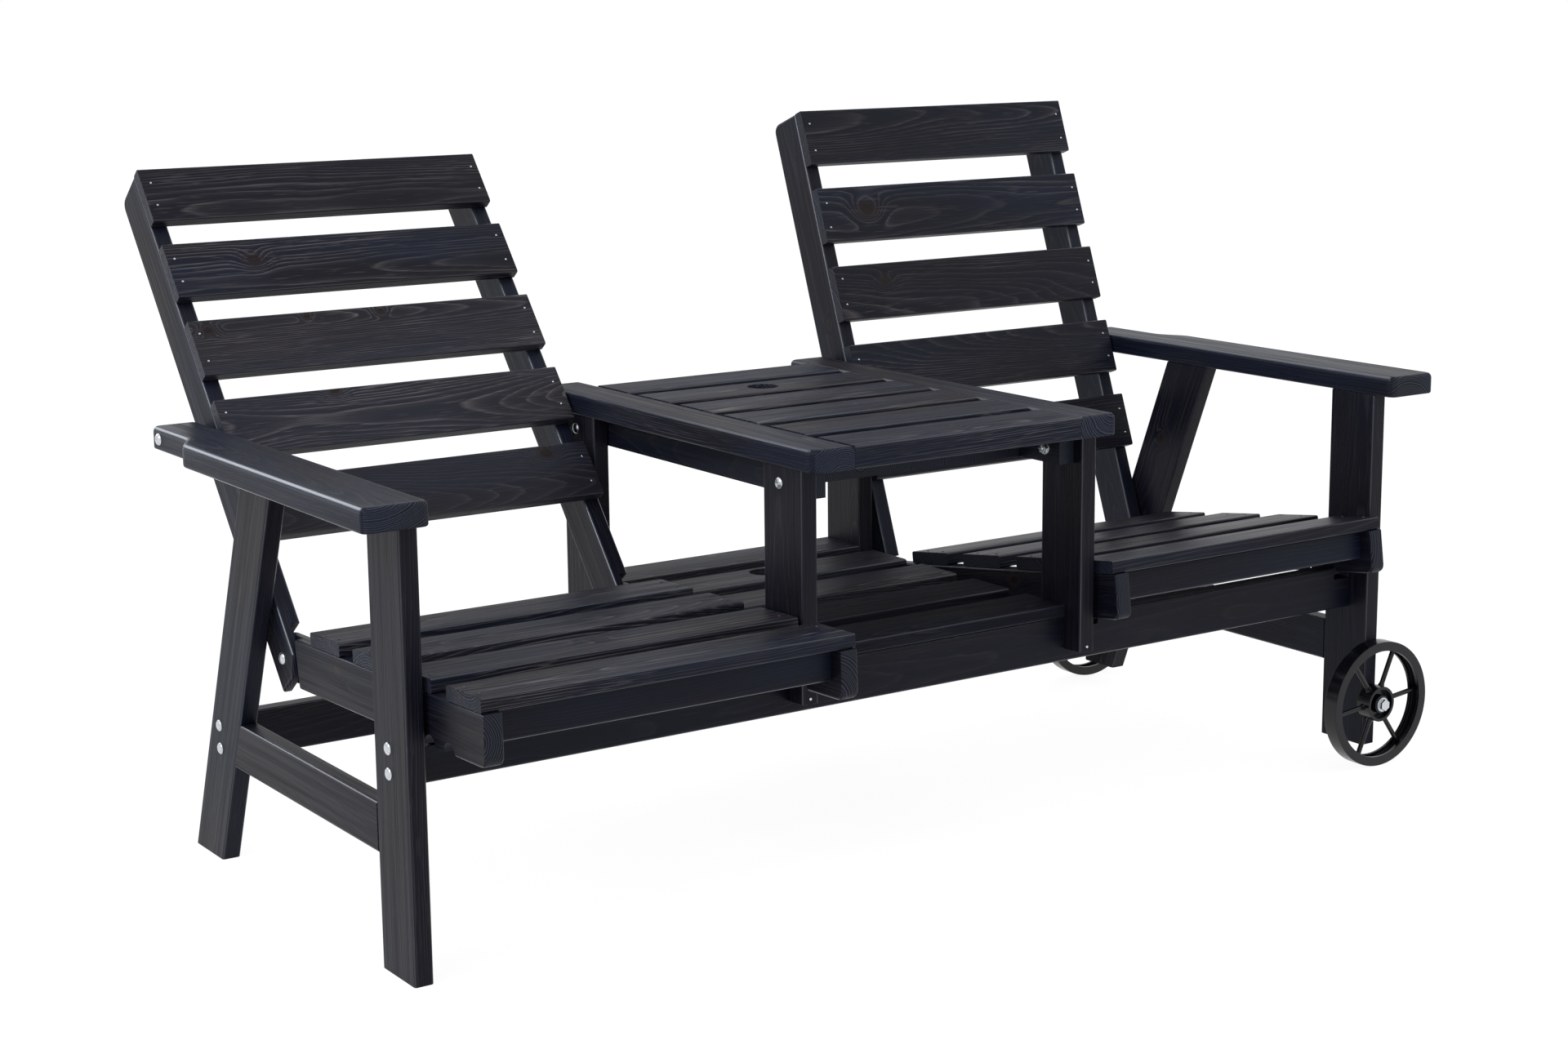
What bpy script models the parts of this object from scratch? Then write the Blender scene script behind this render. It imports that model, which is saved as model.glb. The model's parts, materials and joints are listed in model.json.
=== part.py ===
"""A two-seat garden bench: two reclining slatted chairs either side of a slatted table.

Every board is its own piece. The back of each chair turns on two bolts through the
armrest and the table's side plank. The seat hangs from the foot of the back and slides
over the front rail, where one of three notches holds it. Two wheels carry the right end.

X runs along the bench, Y from front to rear, Z up. Sizes are in metres.
"""

from math import atan2, cos, hypot, pi, radians, sin, sqrt, tan

import bmesh
import bpy
from mathutils import Matrix, Vector

# Fits between pieces
SEAT_GAP = 0.0003
RUNNING_GAP = 0.0004
JOIN_DEPTH = 0.0003
OVERRUN = 0.010

# Boards of the frame
LEG_HEIGHT = 0.618
FRAME_THICK = 0.028
LEG_WIDE = 0.095
RAIL_HIGH = 0.070
EDGE_ROUND = 0.004
EDGE_STEPS = 3
ROUND_PROFILE_SHARE = 0.5
FLAT_WITHIN = radians(0.1)
ALONG_WITHIN = radians(20)
ALONG_X, ALONG_Y, ALONG_Z = range(3)

# Legs, from the front face of the front legs
REAR_FOOT_Y = 0.742
REAR_HEAD_Y = 0.496
RAISED_FOOT = 0.031

# Long rails
FRONT_RAIL_Y = 0.040
FRONT_RAIL_TOP = 0.330
REAR_RAIL_Y = 0.612
REAR_RAIL_TOP = 0.2295
RELIEF_GAP = 0.0016
RELIEF_MARGIN = 0.002
RELIEF_STEPS = 40

# Chairs
CHAIR_WIDE = 0.570
CHAIR_SIDE_GAP = 0.006
CHAIR_THICK = 0.028
CHAIR_BOARD = 0.070
SLAT_THICK = 0.020
SLAT_WIDE = 0.095
SLAT_PITCH = 0.1375
SLAT_ROUND = 0.003

# Backs, from the pivot bolt
PIVOT_Y = 0.696
LINK_LENGTH = 0.375
BACK_RISE = 0.438
BACK_FOOT = 0.412
BACK_SLATS = 5
BACK_CORNER = 0.015
BACK_CLIP = 0.025
LAP_LENGTH = 0.074

# Seats, from the bolt at the foot of the back
SEAT_REACH = 0.613
SEAT_SLATS = 4
SEAT_SLAT_SETBACK = 0.005
SEAT_SLAT_REAR = 0.1005
SEAT_CORNER = 0.013
SHOULDER_TOP = 0.046
SHOULDER_FOOT = 0.056
NOTCH_ROUND = 0.0155
NOTCH_REAR = 0.4065
NOTCH_PITCH = 0.054
LEFT_NOTCH = 0
RIGHT_NOTCH = 2
SEAT_APRON_HIGH = 0.045
SEAT_APRON_BACK = 0.023

# Armrests
TOP_THICK = 0.034
TOP_ROUND = 0.008
UNDER_ROUND = 0.003
ARM_WIDE = 0.095
ARM_NARROW = 0.070
ARM_FRONT = 0.040
ARM_PAST_PIVOT = 0.029
NECK_START_Y = 0.535
NECK_LENGTH = 0.065
NECK_STEPS = 8
ARM_SEAT_CORNER = 0.012
ARM_SMALL_CORNER = 0.010

# Table
POST_SETBACK = 0.005
TONGUE_DEEP = 0.040
TONGUE_UP = 0.021
TABLE_SLATS = 6
TABLE_SLAT_GAP = 0.0276
TABLE_WIDE = 0.548
PLANK_WIDE = 0.070
PLANK_CORNER = 0.020
REBATE_DEEP = 0.017
REBATE_WIDE = 0.030
REBATE_STOP = 0.030
APRON_HIGH = 0.047
APRON_FRONT_Y = 0.020
APRON_REAR_PAST = 0.004
CROSS_FRONT_Y = 0.116
CROSS_REAR_Y = 0.596

# Parasol holes
PARASOL_ROUND = 0.025
PARASOL_SIDES = 24
TABLE_PARASOL_SLAT = 4

# Shelf
SHELF_SLATS = 5
SHELF_PITCH = 0.134
SHELF_FRONT_Y = 0.036
SHELF_BEARER_HIGH = 0.045
SHELF_PARASOL_SLAT = 3

# Pivot bolts
BOLT_ROUND = 0.004
BOLT_SIDES = 16
HEAD_ROUND = 0.009
HEAD_HIGH = 0.005
HEAD_STEPS = 4
COLLAR_ROUND = 0.009
NUT_ROUND = 0.0075
NUT_HIGH = 0.006
LOW_HEAD_HIGH = 0.004
LOW_NUT_HIGH = 0.0045
NUT_HEX_SHARE = 0.92

# Wheels
WHEEL_ROUND = 0.105
WHEEL_WIDE = 0.026
WHEEL_SIDES = 40
TREAD_ROUND = 0.0025
RIM_LIP_DEEP = 0.0155
RIM_LIP_WIDE = 0.005
RIM_WEB = 0.009
HUB_ROUND = 0.0295
HUB_WALL = 0.005
HUB_DISH = 0.010
HUB_PROUD = 0.001
SLEEVE_ROUND = 0.015
SLEEVE_PROUD = 0.002
HUB_SIDES = 24
SPOKES = 6
SPOKE_ROUND = 0.0035
SPOKE_SIDES = 10
SPOKE_BITE = 0.003
SPOKE_TURN = radians(6)
WHEEL_LEG_GAP = 0.0040
AXLE_ROUND = 0.005
AXLE_GRIP = 0.045
AXLE_HEX = 0.0098
AXLE_HEX_HIGH = 0.0065
WASHER_ROUND = 0.012
WASHER_THICK = 0.002

# Places that follow from the sizes above
FRAME_WIDTH = TABLE_WIDE + 2 * (CHAIR_WIDE + 2 * CHAIR_SIDE_GAP + FRAME_THICK)
HALF_WIDTH = FRAME_WIDTH / 2
LEG_INSIDE = HALF_WIDTH - FRAME_THICK
TOP_Z = LEG_HEIGHT + SEAT_GAP
TOP_SURFACE = TOP_Z + TOP_THICK
PIVOT_Z = TOP_Z + TOP_THICK / 2
TOP_REAR_Y = PIVOT_Y + ARM_PAST_PIVOT
HALF_TABLE = TABLE_WIDE / 2
HALF_POST_IN = HALF_TABLE - POST_SETBACK - FRAME_THICK
HALF_TOP_IN = HALF_TABLE - PLANK_WIDE
REAR_POST_Y = REAR_RAIL_Y - TONGUE_DEEP
REAR_POST_BACK_Y = REAR_POST_Y + LEG_WIDE
REAR_SLOPE = (REAR_FOOT_Y - REAR_HEAD_Y) / LEG_HEIGHT
REAR_LEG_ACROSS = LEG_WIDE * sqrt(1 + REAR_SLOPE ** 2)
NOTCH_FLAT = FRAME_THICK / 2 - EDGE_ROUND
NOTCH_NEST = EDGE_ROUND + sqrt((NOTCH_ROUND - EDGE_ROUND) ** 2 - NOTCH_FLAT ** 2)
HALF_BOARD = CHAIR_BOARD / 2
FRONT_RAIL_MID_Y = FRONT_RAIL_Y + FRAME_THICK / 2
TABLE_PITCH = LEG_WIDE + TABLE_SLAT_GAP
PARASOL_Y = TABLE_PARASOL_SLAT * TABLE_PITCH - ARM_FRONT + LEG_WIDE / 2
HOLE_ROUND = BOLT_ROUND + RUNNING_GAP
AXLE_HOLE_ROUND = AXLE_ROUND + RUNNING_GAP
WHEEL_X = HALF_WIDTH - FRAME_THICK / 2
SEAT_SLAT_FRONT = SEAT_REACH - SEAT_SLAT_SETBACK
SEAT_PITCH = (SEAT_SLAT_FRONT - SEAT_SLAT_REAR - SLAT_WIDE) / (SEAT_SLATS - 1)
LEFT_CHAIR_X = CHAIR_SIDE_GAP - LEG_INSIDE
RIGHT_CHAIR_X = LEG_INSIDE - CHAIR_SIDE_GAP - CHAIR_WIDE

COLOURS = {
    "frame_stain": (0.020, 0.020, 0.023, 1.0),
    "top_stain": (0.024, 0.024, 0.027, 1.0),
    "chair_stain": (0.022, 0.021, 0.024, 1.0),
    "zinc": (0.55, 0.57, 0.58, 1.0),
    "wheel_black": (0.012, 0.012, 0.014, 1.0),
}
ROUGHNESS = {"zinc": 0.32, "wheel_black": 0.38}
METALLIC = {"zinc": 1.0}
WOOD_ROUGHNESS = 0.5
SMOOTH_ANGLE = radians(40)


# Scene and collections

def empty_scene():
    """Remove every object, then make the collections for the bench and its cutters."""
    for old in list(bpy.data.objects):
        bpy.data.objects.remove(old, do_unlink=True)
    made = []
    for title in ("outdoor_bench", "cutters"):
        group = bpy.data.collections.new(title)
        bpy.context.scene.collection.children.link(group)
        made.append(group)
    return made


BENCH, CUTTERS = empty_scene()


def material(name, look):
    """A Principled material with the colour, roughness and metallic value of a finish."""
    made = bpy.data.materials.new(f"{look}_{name}")
    made.use_nodes = True
    shader = made.node_tree.nodes["Principled BSDF"]
    shader.inputs["Base Color"].default_value = COLOURS[look]
    shader.inputs["Roughness"].default_value = ROUGHNESS.get(look, WOOD_ROUGHNESS)
    shader.inputs["Metallic"].default_value = METALLIC.get(look, 0.0)
    made.diffuse_color = COLOURS[look]
    return made


def pivot(name, parent, location, tilt=0.0):
    """An empty on a joint's axis, which runs along its own X."""
    empty = bpy.data.objects.new(name, None)
    BENCH.objects.link(empty)
    empty.parent = parent
    empty.location = location
    empty.rotation_euler = (tilt, 0.0, 0.0)
    empty.empty_display_size = LEG_WIDE
    return empty


def piece(name, mesh, look, parent, location=(0.0, 0.0, 0.0)):
    """A named sub-part in the bench's collection, with its own material."""
    made = bpy.data.objects.new(name, mesh)
    BENCH.objects.link(made)
    made.parent = parent
    made.location = location
    mesh.materials.clear()
    mesh.materials.append(material(name, look))
    mesh.shade_smooth()
    mesh.set_sharp_from_angle(angle=SMOOTH_ANGLE)
    return made


def helper(name, mesh, parent, location=(0.0, 0.0, 0.0)):
    """A shape that only cuts or joins, kept out of the render."""
    made = bpy.data.objects.new(name, mesh)
    CUTTERS.objects.link(made)
    made.parent = parent
    made.location = location
    made.hide_render = True
    made.display_type = "WIRE"
    return made


def boolean(target, other, operation):
    """Cut the other shape out of the target, or join it on."""
    step = target.modifiers.new(f"{operation.lower()}_{other.name}", "BOOLEAN")
    step.operation = operation
    step.object = other
    return step


# Boards

def mesh_from(name, shape):
    """Turn a finished bmesh into mesh data."""
    shape.normal_update()
    bmesh.ops.recalc_face_normals(shape, faces=shape.faces)
    mesh = bpy.data.meshes.new(name)
    shape.to_mesh(mesh)
    shape.free()
    return mesh


def round_edges(shape, edges, radius, steps=EDGE_STEPS):
    """Round some edges of a shape."""
    bmesh.ops.bevel(
        shape, geom=list(edges), offset=radius, segments=steps, profile=ROUND_PROFILE_SHARE, affect="EDGES",
        clamp_overlap=True,
    )


def add_board(shape, low, high, along, radius):
    """Add a straight board between two corners, with the edges that run along its length rounded."""
    low, high = Vector(low), Vector(high)
    size = high - low
    made = bmesh.ops.create_cube(shape, size=1.0)["verts"]
    for vertex in made:
        vertex.co = (low + high) / 2 + Vector(edge * part for edge, part in zip(size, vertex.co))
    if radius:
        edges = {edge for vertex in made for edge in vertex.link_edges}
        runs = {edge: edge.verts[1].co - edge.verts[0].co for edge in edges}
        long_edges = [edge for edge in edges if abs(runs[edge][along]) > size[along] / 2]
        round_edges(shape, long_edges, radius)


def boards_mesh(name, boards, radius=EDGE_ROUND):
    """One mesh that holds several straight boards, each given as low corner, high corner and length axis."""
    shape = bmesh.new()
    for low, high, along in boards:
        add_board(shape, low, high, along, radius)
    return mesh_from(name, shape)


def straight_board(name, low, high, along, look, parent, radius=EDGE_ROUND):
    """A board between two corners of its parent's space, with its origin at its middle."""
    middle = (Vector(low) + Vector(high)) / 2
    half = (Vector(high) - Vector(low)) / 2
    return piece(name, boards_mesh(name, [(-half, half, along)], radius), look, parent, middle)


def arc(centre, radius, start, sweep, steps):
    """Points of an arc in a plane."""
    angles = [start + sweep * step / steps for step in range(steps + 1)]
    return [Vector((centre[0] + radius * cos(angle), centre[1] + radius * sin(angle))) for angle in angles]


def rounded_outline(corners):
    """Outline points in which each corner (u, v, radius) is an arc, or stays sharp at radius zero."""
    points = []
    for index, (u, v, radius) in enumerate(corners):
        here = Vector((u, v))
        if not radius:
            points.append(here)
            continue
        before = (Vector(corners[index - 1][:2]) - here).normalized()
        after = (Vector(corners[(index + 1) % len(corners)][:2]) - here).normalized()
        half = before.angle(after) / 2
        centre = here + (before + after).normalized() * radius / sin(half)
        start = here + before * radius / tan(half) - centre
        turn = 1 if before.cross(after) < 0 else -1
        points += arc(centre, radius, atan2(start.y, start.x), turn * (pi - 2 * half), EDGE_STEPS + 1)
    return points


def flat_outline(name, points, thick):
    """A closed outline in the XY plane, extruded to both sides by half its thickness."""
    curve = bpy.data.curves.new(name, "CURVE")
    curve.dimensions = "2D"
    curve.fill_mode = "BOTH"
    curve.extrude = thick / 2
    spline = curve.splines.new("POLY")
    spline.points.add(len(points) - 1)
    for place, point in zip(spline.points, points):
        place.co = (point[0], point[1], 0.0, 1.0)
    spline.use_cyclic_u = True
    drawn = bpy.data.objects.new(name, curve)
    CUTTERS.objects.link(drawn)
    bpy.context.view_layer.update()
    graph = bpy.context.evaluated_depsgraph_get()
    mesh = bpy.data.meshes.new_from_object(drawn.evaluated_get(graph))
    bpy.data.objects.remove(drawn)
    bpy.data.curves.remove(curve)
    shape = bmesh.new()
    shape.from_mesh(mesh)
    bpy.data.meshes.remove(mesh)
    bmesh.ops.remove_doubles(shape, verts=shape.verts, dist=RUNNING_GAP / 10)
    bmesh.ops.dissolve_limit(shape, angle_limit=FLAT_WITHIN, verts=shape.verts, edges=shape.edges)
    return shape


def rim_edges(shape, side, along=None):
    """Edges round one flat face of an extruded outline, or only those that run along a direction."""
    found = []
    for edge in shape.edges:
        ends = [vertex.co for vertex in edge.verts]
        if all(end.z * side > 0 for end in ends):
            run = (ends[1] - ends[0]).normalized()
            if along is None or abs(run.to_2d().dot(along)) > cos(ALONG_WITHIN):
                found.append(edge)
    return found


SIDE_ON = Matrix(((0, 0, 1), (1, 0, 0), (0, 1, 0))).to_4x4()


def side_board(name, points, thick=FRAME_THICK, along=None, radius=EDGE_ROUND):
    """A board whose outline is drawn from the side, in Y and Z, with the edges of both faces rounded."""
    shape = flat_outline(name, points, thick)
    if radius:
        round_edges(shape, rim_edges(shape, 1, along) + rim_edges(shape, -1, along), radius)
    shape.transform(SIDE_ON)
    return mesh_from(name, shape)


def top_board(name, points):
    """A board whose outline is drawn from above, well rounded on top and slightly below."""
    shape = flat_outline(name, points, TOP_THICK)
    round_edges(shape, rim_edges(shape, 1), TOP_ROUND)
    round_edges(shape, rim_edges(shape, -1), UNDER_ROUND)
    return mesh_from(name, shape)


def cylinder_mesh(name, radius, low, high, axis, sides, start=0.0):
    """A closed cylinder along an axis, between two places on it."""
    shape = bmesh.new()
    bmesh.ops.create_cone(
        shape, cap_ends=True, segments=sides, radius1=radius, radius2=radius, depth=high - low,
        matrix=Matrix.Translation((0.0, 0.0, (low + high) / 2)) @ Matrix.Rotation(start, 4, "Z"),
    )
    turns = {
        "X": Matrix.Rotation(pi / 2, 4, "Y"),
        "Y": Matrix.Rotation(-pi / 2, 4, "X"),
        "Z": Matrix.Identity(4),
    }
    shape.transform(turns[axis])
    return mesh_from(name, shape)


def drill(target, place, radius, low, high, axis="X", sides=BOLT_SIDES):
    """Cut a round hole through a piece; place and axis are in the space of the piece's parent."""
    name = f"hole_{target.name}_{len(target.modifiers)}"
    cutter = helper(name, cylinder_mesh(name, radius, low, high, axis, sides), target.parent, place)
    boolean(target, cutter, "DIFFERENCE")


# Frame

def rear_edge(height):
    """How far back the rear legs reach at a height."""
    return REAR_FOOT_Y - REAR_SLOPE * height


def front_leg(side, root):
    """An upright front leg; the right one ends above the floor, where its wheel carries it."""
    name = "leg_front_right" if side > 0 else "leg_front_left"
    foot = RAISED_FOOT if side > 0 else 0.0
    inner, outer = sorted((side * LEG_INSIDE, side * HALF_WIDTH))
    low, high = (inner, 0.0, foot), (outer, LEG_WIDE, LEG_HEIGHT)
    leg = straight_board(name, low, high, ALONG_Z, "frame_stain", root)
    if side > 0:
        drill(leg, (WHEEL_X, 0.0, WHEEL_ROUND), AXLE_HOLE_ROUND, -OVERRUN, AXLE_GRIP + OVERRUN, "Y")
    return leg


def rear_leg(side, root):
    """A rear leg that leans forward to its head; the right one is trimmed upright where its wheel sits."""
    name = "leg_rear_right" if side > 0 else "leg_rear_left"
    foot = RAISED_FOOT if side > 0 else 0.0
    across = REAR_LEG_ACROSS
    points = [
        (rear_edge(foot) - across, foot),
        (rear_edge(foot), foot),
        (rear_edge(LEG_HEIGHT), LEG_HEIGHT),
        (rear_edge(LEG_HEIGHT) - across, LEG_HEIGHT),
    ]
    lean = Vector((-REAR_SLOPE, 1.0)).normalized()
    place = (side * (LEG_INSIDE + FRAME_THICK / 2), 0.0, 0.0)
    leg = piece(name, side_board(name, points, along=lean), "frame_stain", root, place)
    if side > 0:
        seat_y = rear_edge(WHEEL_ROUND) + WHEEL_LEG_GAP - SEAT_GAP
        top = rear_edge(0.0) - seat_y
        low = (-FRAME_THICK, seat_y, foot - OVERRUN)
        high = (FRAME_THICK, REAR_FOOT_Y + OVERRUN, top / REAR_SLOPE + OVERRUN)
        trim = boards_mesh("wheel_seat_trim", [(low, high, ALONG_Z)], radius=0.0)
        boolean(leg, helper("wheel_seat_trim", trim, root, place), "DIFFERENCE")
        drill(leg, (WHEEL_X, seat_y, WHEEL_ROUND), AXLE_HOLE_ROUND, -AXLE_GRIP - OVERRUN, OVERRUN, "Y")
    return leg


def post(side, rear, root):
    """A table post that stands on a long rail and laps down its front face."""
    name = f"post_{'rear' if rear else 'front'}_{'right' if side > 0 else 'left'}"
    front = REAR_POST_Y if rear else FRONT_RAIL_Y - TONGUE_DEEP
    rail_top = REAR_RAIL_TOP if rear else FRONT_RAIL_TOP
    lap = front + TONGUE_DEEP - SEAT_GAP
    foot = rail_top - RAIL_HIGH + TONGUE_UP
    points = [
        (front, foot),
        (lap, foot),
        (lap, rail_top + SEAT_GAP),
        (front + LEG_WIDE, rail_top + SEAT_GAP),
        (front + LEG_WIDE, LEG_HEIGHT),
        (front, LEG_HEIGHT),
    ]
    shape = flat_outline(name, points, FRAME_THICK)
    upright = Vector((0.0, 1.0))
    outer = [
        edge
        for edge in rim_edges(shape, 1, upright) + rim_edges(shape, -1, upright)
        if abs(edge.verts[0].co.x - lap) > SEAT_GAP
    ]
    round_edges(shape, outer, EDGE_ROUND)
    shape.transform(SIDE_ON)
    place = (side * (HALF_POST_IN + FRAME_THICK / 2), 0.0, 0.0)
    return piece(name, mesh_from(name, shape), "frame_stain", root, place)


def notch_place(notch):
    """Distance of a seat notch in front of the seat bolt; notch 0 is the rearmost."""
    return NOTCH_REAR + notch * NOTCH_PITCH


def rest_angles(notch):
    """Lean of the back and slope of the seat when a notch sits on the front rail.

    The pivot, the seat bolt and the notch are the corners of a triangle with known sides.
    """
    reach = hypot(notch_place(notch), HALF_BOARD)
    ahead = PIVOT_Y - FRONT_RAIL_MID_Y
    below = PIVOT_Z - (FRONT_RAIL_TOP + SEAT_GAP - NOTCH_NEST)
    span = hypot(ahead, below)
    corner = (LINK_LENGTH ** 2 + span ** 2 - reach ** 2) / (2 * LINK_LENGTH * span)
    lean = atan2(ahead, below) - atan2(sqrt(1 - corner ** 2), corner)
    bolt_y = PIVOT_Y - LINK_LENGTH * sin(lean)
    bolt_z = PIVOT_Z - LINK_LENGTH * cos(lean)
    world = atan2(PIVOT_Z - below - bolt_z, bolt_y - FRONT_RAIL_MID_Y)
    own = atan2(-HALF_BOARD, notch_place(notch))
    return lean, world - own


LEFT_LEAN, LEFT_SLOPE = rest_angles(LEFT_NOTCH)
RIGHT_LEAN, RIGHT_SLOPE = rest_angles(RIGHT_NOTCH)


def lowest_underside():
    """Lowest height of a seat rail's underside over the front rail, anywhere in the seat's travel."""
    lowest = FRONT_RAIL_TOP
    for step in range(RELIEF_STEPS + 1):
        share = step / RELIEF_STEPS
        lean = LEFT_LEAN + (RIGHT_LEAN - LEFT_LEAN) * share
        slope = LEFT_SLOPE + (RIGHT_SLOPE - LEFT_SLOPE) * share
        bolt_y = PIVOT_Y - LINK_LENGTH * sin(lean)
        bolt_z = PIVOT_Z - LINK_LENGTH * cos(lean)
        for y in (FRONT_RAIL_Y, FRONT_RAIL_Y + FRAME_THICK):
            lowest = min(lowest, bolt_z + (bolt_y - y) * tan(slope) - HALF_BOARD / cos(slope))
    return lowest


def chair_rail_spans():
    """The four stretches along X that the chairs' side boards take."""
    for start in (LEFT_CHAIR_X, RIGHT_CHAIR_X):
        for offset in (0.0, CHAIR_WIDE - CHAIR_THICK):
            yield start + offset, start + offset + CHAIR_THICK


def long_rail(name, front, top, root):
    """A long rail between the end legs."""
    half = LEG_INSIDE - SEAT_GAP
    low = (-half, front, top - RAIL_HIGH)
    high = (half, front + FRAME_THICK, top)
    return straight_board(name, low, high, ALONG_X, "frame_stain", root)


def relieve_front_rail(rail, root):
    """Lower the front rail under each seat rail, so that the seats pass over it."""
    low = lowest_underside() - RELIEF_GAP
    front = FRONT_RAIL_Y - OVERRUN
    rear = FRONT_RAIL_Y + FRAME_THICK + OVERRUN
    reliefs = [
        ((start - RELIEF_MARGIN, front, low), (end + RELIEF_MARGIN, rear, FRONT_RAIL_TOP + OVERRUN), ALONG_X)
        for start, end in chair_rail_spans()
    ]
    boolean(rail, helper("seat_reliefs", boards_mesh("seat_reliefs", reliefs, 0.0), root), "DIFFERENCE")


def stretcher(side, root):
    """A low board from the front leg to the leaning rear leg."""
    name = "stretcher_right" if side > 0 else "stretcher_left"
    front = LEG_WIDE + SEAT_GAP
    low, high = REAR_RAIL_TOP - RAIL_HIGH, REAR_RAIL_TOP
    slack = REAR_LEG_ACROSS + SEAT_GAP * 2
    points = [(front, low), (rear_edge(low) - slack, low), (rear_edge(high) - slack, high), (front, high)]
    level = Vector((1.0, 0.0))
    place = (side * (LEG_INSIDE + FRAME_THICK / 2), 0.0, 0.0)
    return piece(name, side_board(name, points, along=level), "frame_stain", root, place)


# Armrests, table and shelf

def neck_line(side, wide, narrow):
    """Points of the S-curve where the outer edge of an armrest draws in."""
    points = []
    for step in range(NECK_STEPS + 1):
        share = step / NECK_STEPS
        ease = (1 - cos(pi * share)) / 2
        points.append((side * (wide - (wide - narrow) * ease), NECK_START_Y + NECK_LENGTH * share))
    return points


def armrest(side, root):
    """An armrest on the end legs, flush with their inner faces, with a hole for the pivot bolt."""
    name = "armrest_right" if side > 0 else "armrest_left"
    inner = LEG_INSIDE
    outer = inner + ARM_WIDE
    narrow = inner + ARM_NARROW
    front = rounded_outline([
        (side * inner, -ARM_FRONT, ARM_SEAT_CORNER),
        (side * outer, -ARM_FRONT, ARM_SMALL_CORNER),
        (side * outer, TOP_REAR_Y, 0),
        (side * inner, TOP_REAR_Y, 0),
    ])[:-2]
    rear = rounded_outline([
        (side * inner, -ARM_FRONT, 0),
        (side * narrow, -ARM_FRONT, 0),
        (side * narrow, TOP_REAR_Y, ARM_SMALL_CORNER),
        (side * inner, TOP_REAR_Y, ARM_SMALL_CORNER),
    ])[2:]
    points = front + neck_line(side, outer, narrow) + rear
    arm = piece(name, top_board(name, points), "top_stain", root, (0.0, 0.0, TOP_Z + TOP_THICK / 2))
    bore = cylinder_mesh(f"bore_{name}", HOLE_ROUND, -OVERRUN, ARM_NARROW + OVERRUN, "X", BOLT_SIDES)
    start = inner if side > 0 else -narrow
    boolean(arm, helper(f"bore_{name}", bore, root, (start, PIVOT_Y, PIVOT_Z)), "DIFFERENCE")
    return arm


def table_slat_front(index):
    """Front edge of a table slat."""
    return index * TABLE_PITCH - ARM_FRONT


def table_plank(side, root):
    """A table side plank, rebated underneath for the slat ends, with a hole for the pivot bolt."""
    name = "table_plank_right" if side > 0 else "table_plank_left"
    corner = ARM_SMALL_CORNER if side > 0 else PLANK_CORNER
    points = rounded_outline([
        (side * HALF_TOP_IN, -ARM_FRONT, 0),
        (side * HALF_TABLE, -ARM_FRONT, corner),
        (side * HALF_TABLE, TOP_REAR_Y, ARM_SMALL_CORNER),
        (side * HALF_TOP_IN, TOP_REAR_Y, ARM_SMALL_CORNER),
    ])
    plank = piece(name, top_board(name, points), "top_stain", root, (0.0, 0.0, TOP_Z + TOP_THICK / 2))
    low, high = sorted((side * (HALF_TOP_IN - OVERRUN), side * (HALF_TOP_IN + REBATE_WIDE + SEAT_GAP)))
    rear = table_slat_front(TABLE_SLATS - 1) + LEG_WIDE + SEAT_GAP
    rebate = [(
        (low, REBATE_STOP - ARM_FRONT - SEAT_GAP, TOP_Z - OVERRUN),
        (high, rear, TOP_Z + REBATE_DEEP + SEAT_GAP),
        ALONG_Y,
    )]
    boolean(plank, helper(f"rebate_{name}", boards_mesh(f"rebate_{name}", rebate, 0.0), root), "DIFFERENCE")
    bore = cylinder_mesh(f"bore_{name}", HOLE_ROUND, -OVERRUN, PLANK_WIDE + OVERRUN, "X", BOLT_SIDES)
    start = HALF_TOP_IN if side > 0 else -HALF_TABLE
    boolean(plank, helper(f"bore_{name}", bore, root, (start, PIVOT_Y, PIVOT_Z)), "DIFFERENCE")
    return plank


def table_slat_boards(indices, floor):
    """Table slats as boards, and the tongues at their ends as plain boxes that reach down to a floor."""
    half = HALF_TOP_IN - SEAT_GAP
    slats, tongues = [], []
    for index in indices:
        front = table_slat_front(index)
        rear = front + LEG_WIDE
        slats.append(((-half, front, TOP_Z), (half, rear, TOP_SURFACE), ALONG_X))
        start = front + (EDGE_ROUND if index else REBATE_STOP)
        for side in (-1, 1):
            low, high = sorted((side * (half - JOIN_DEPTH), side * (HALF_TOP_IN + REBATE_WIDE)))
            tongues.append(((low, start, floor), (high, rear - EDGE_ROUND, TOP_Z + REBATE_DEEP), ALONG_X))
    return slats, tongues


def joined_boards(name, boards, extras, look, root):
    """Boards of one node: the first group carries the others, which are joined on."""
    made = piece(name, boards_mesh(name, boards), look, root)
    for title, group, radius in extras:
        boolean(made, helper(f"{name}_{title}", boards_mesh(f"{name}_{title}", group, radius), root), "UNION")
    return made


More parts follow.
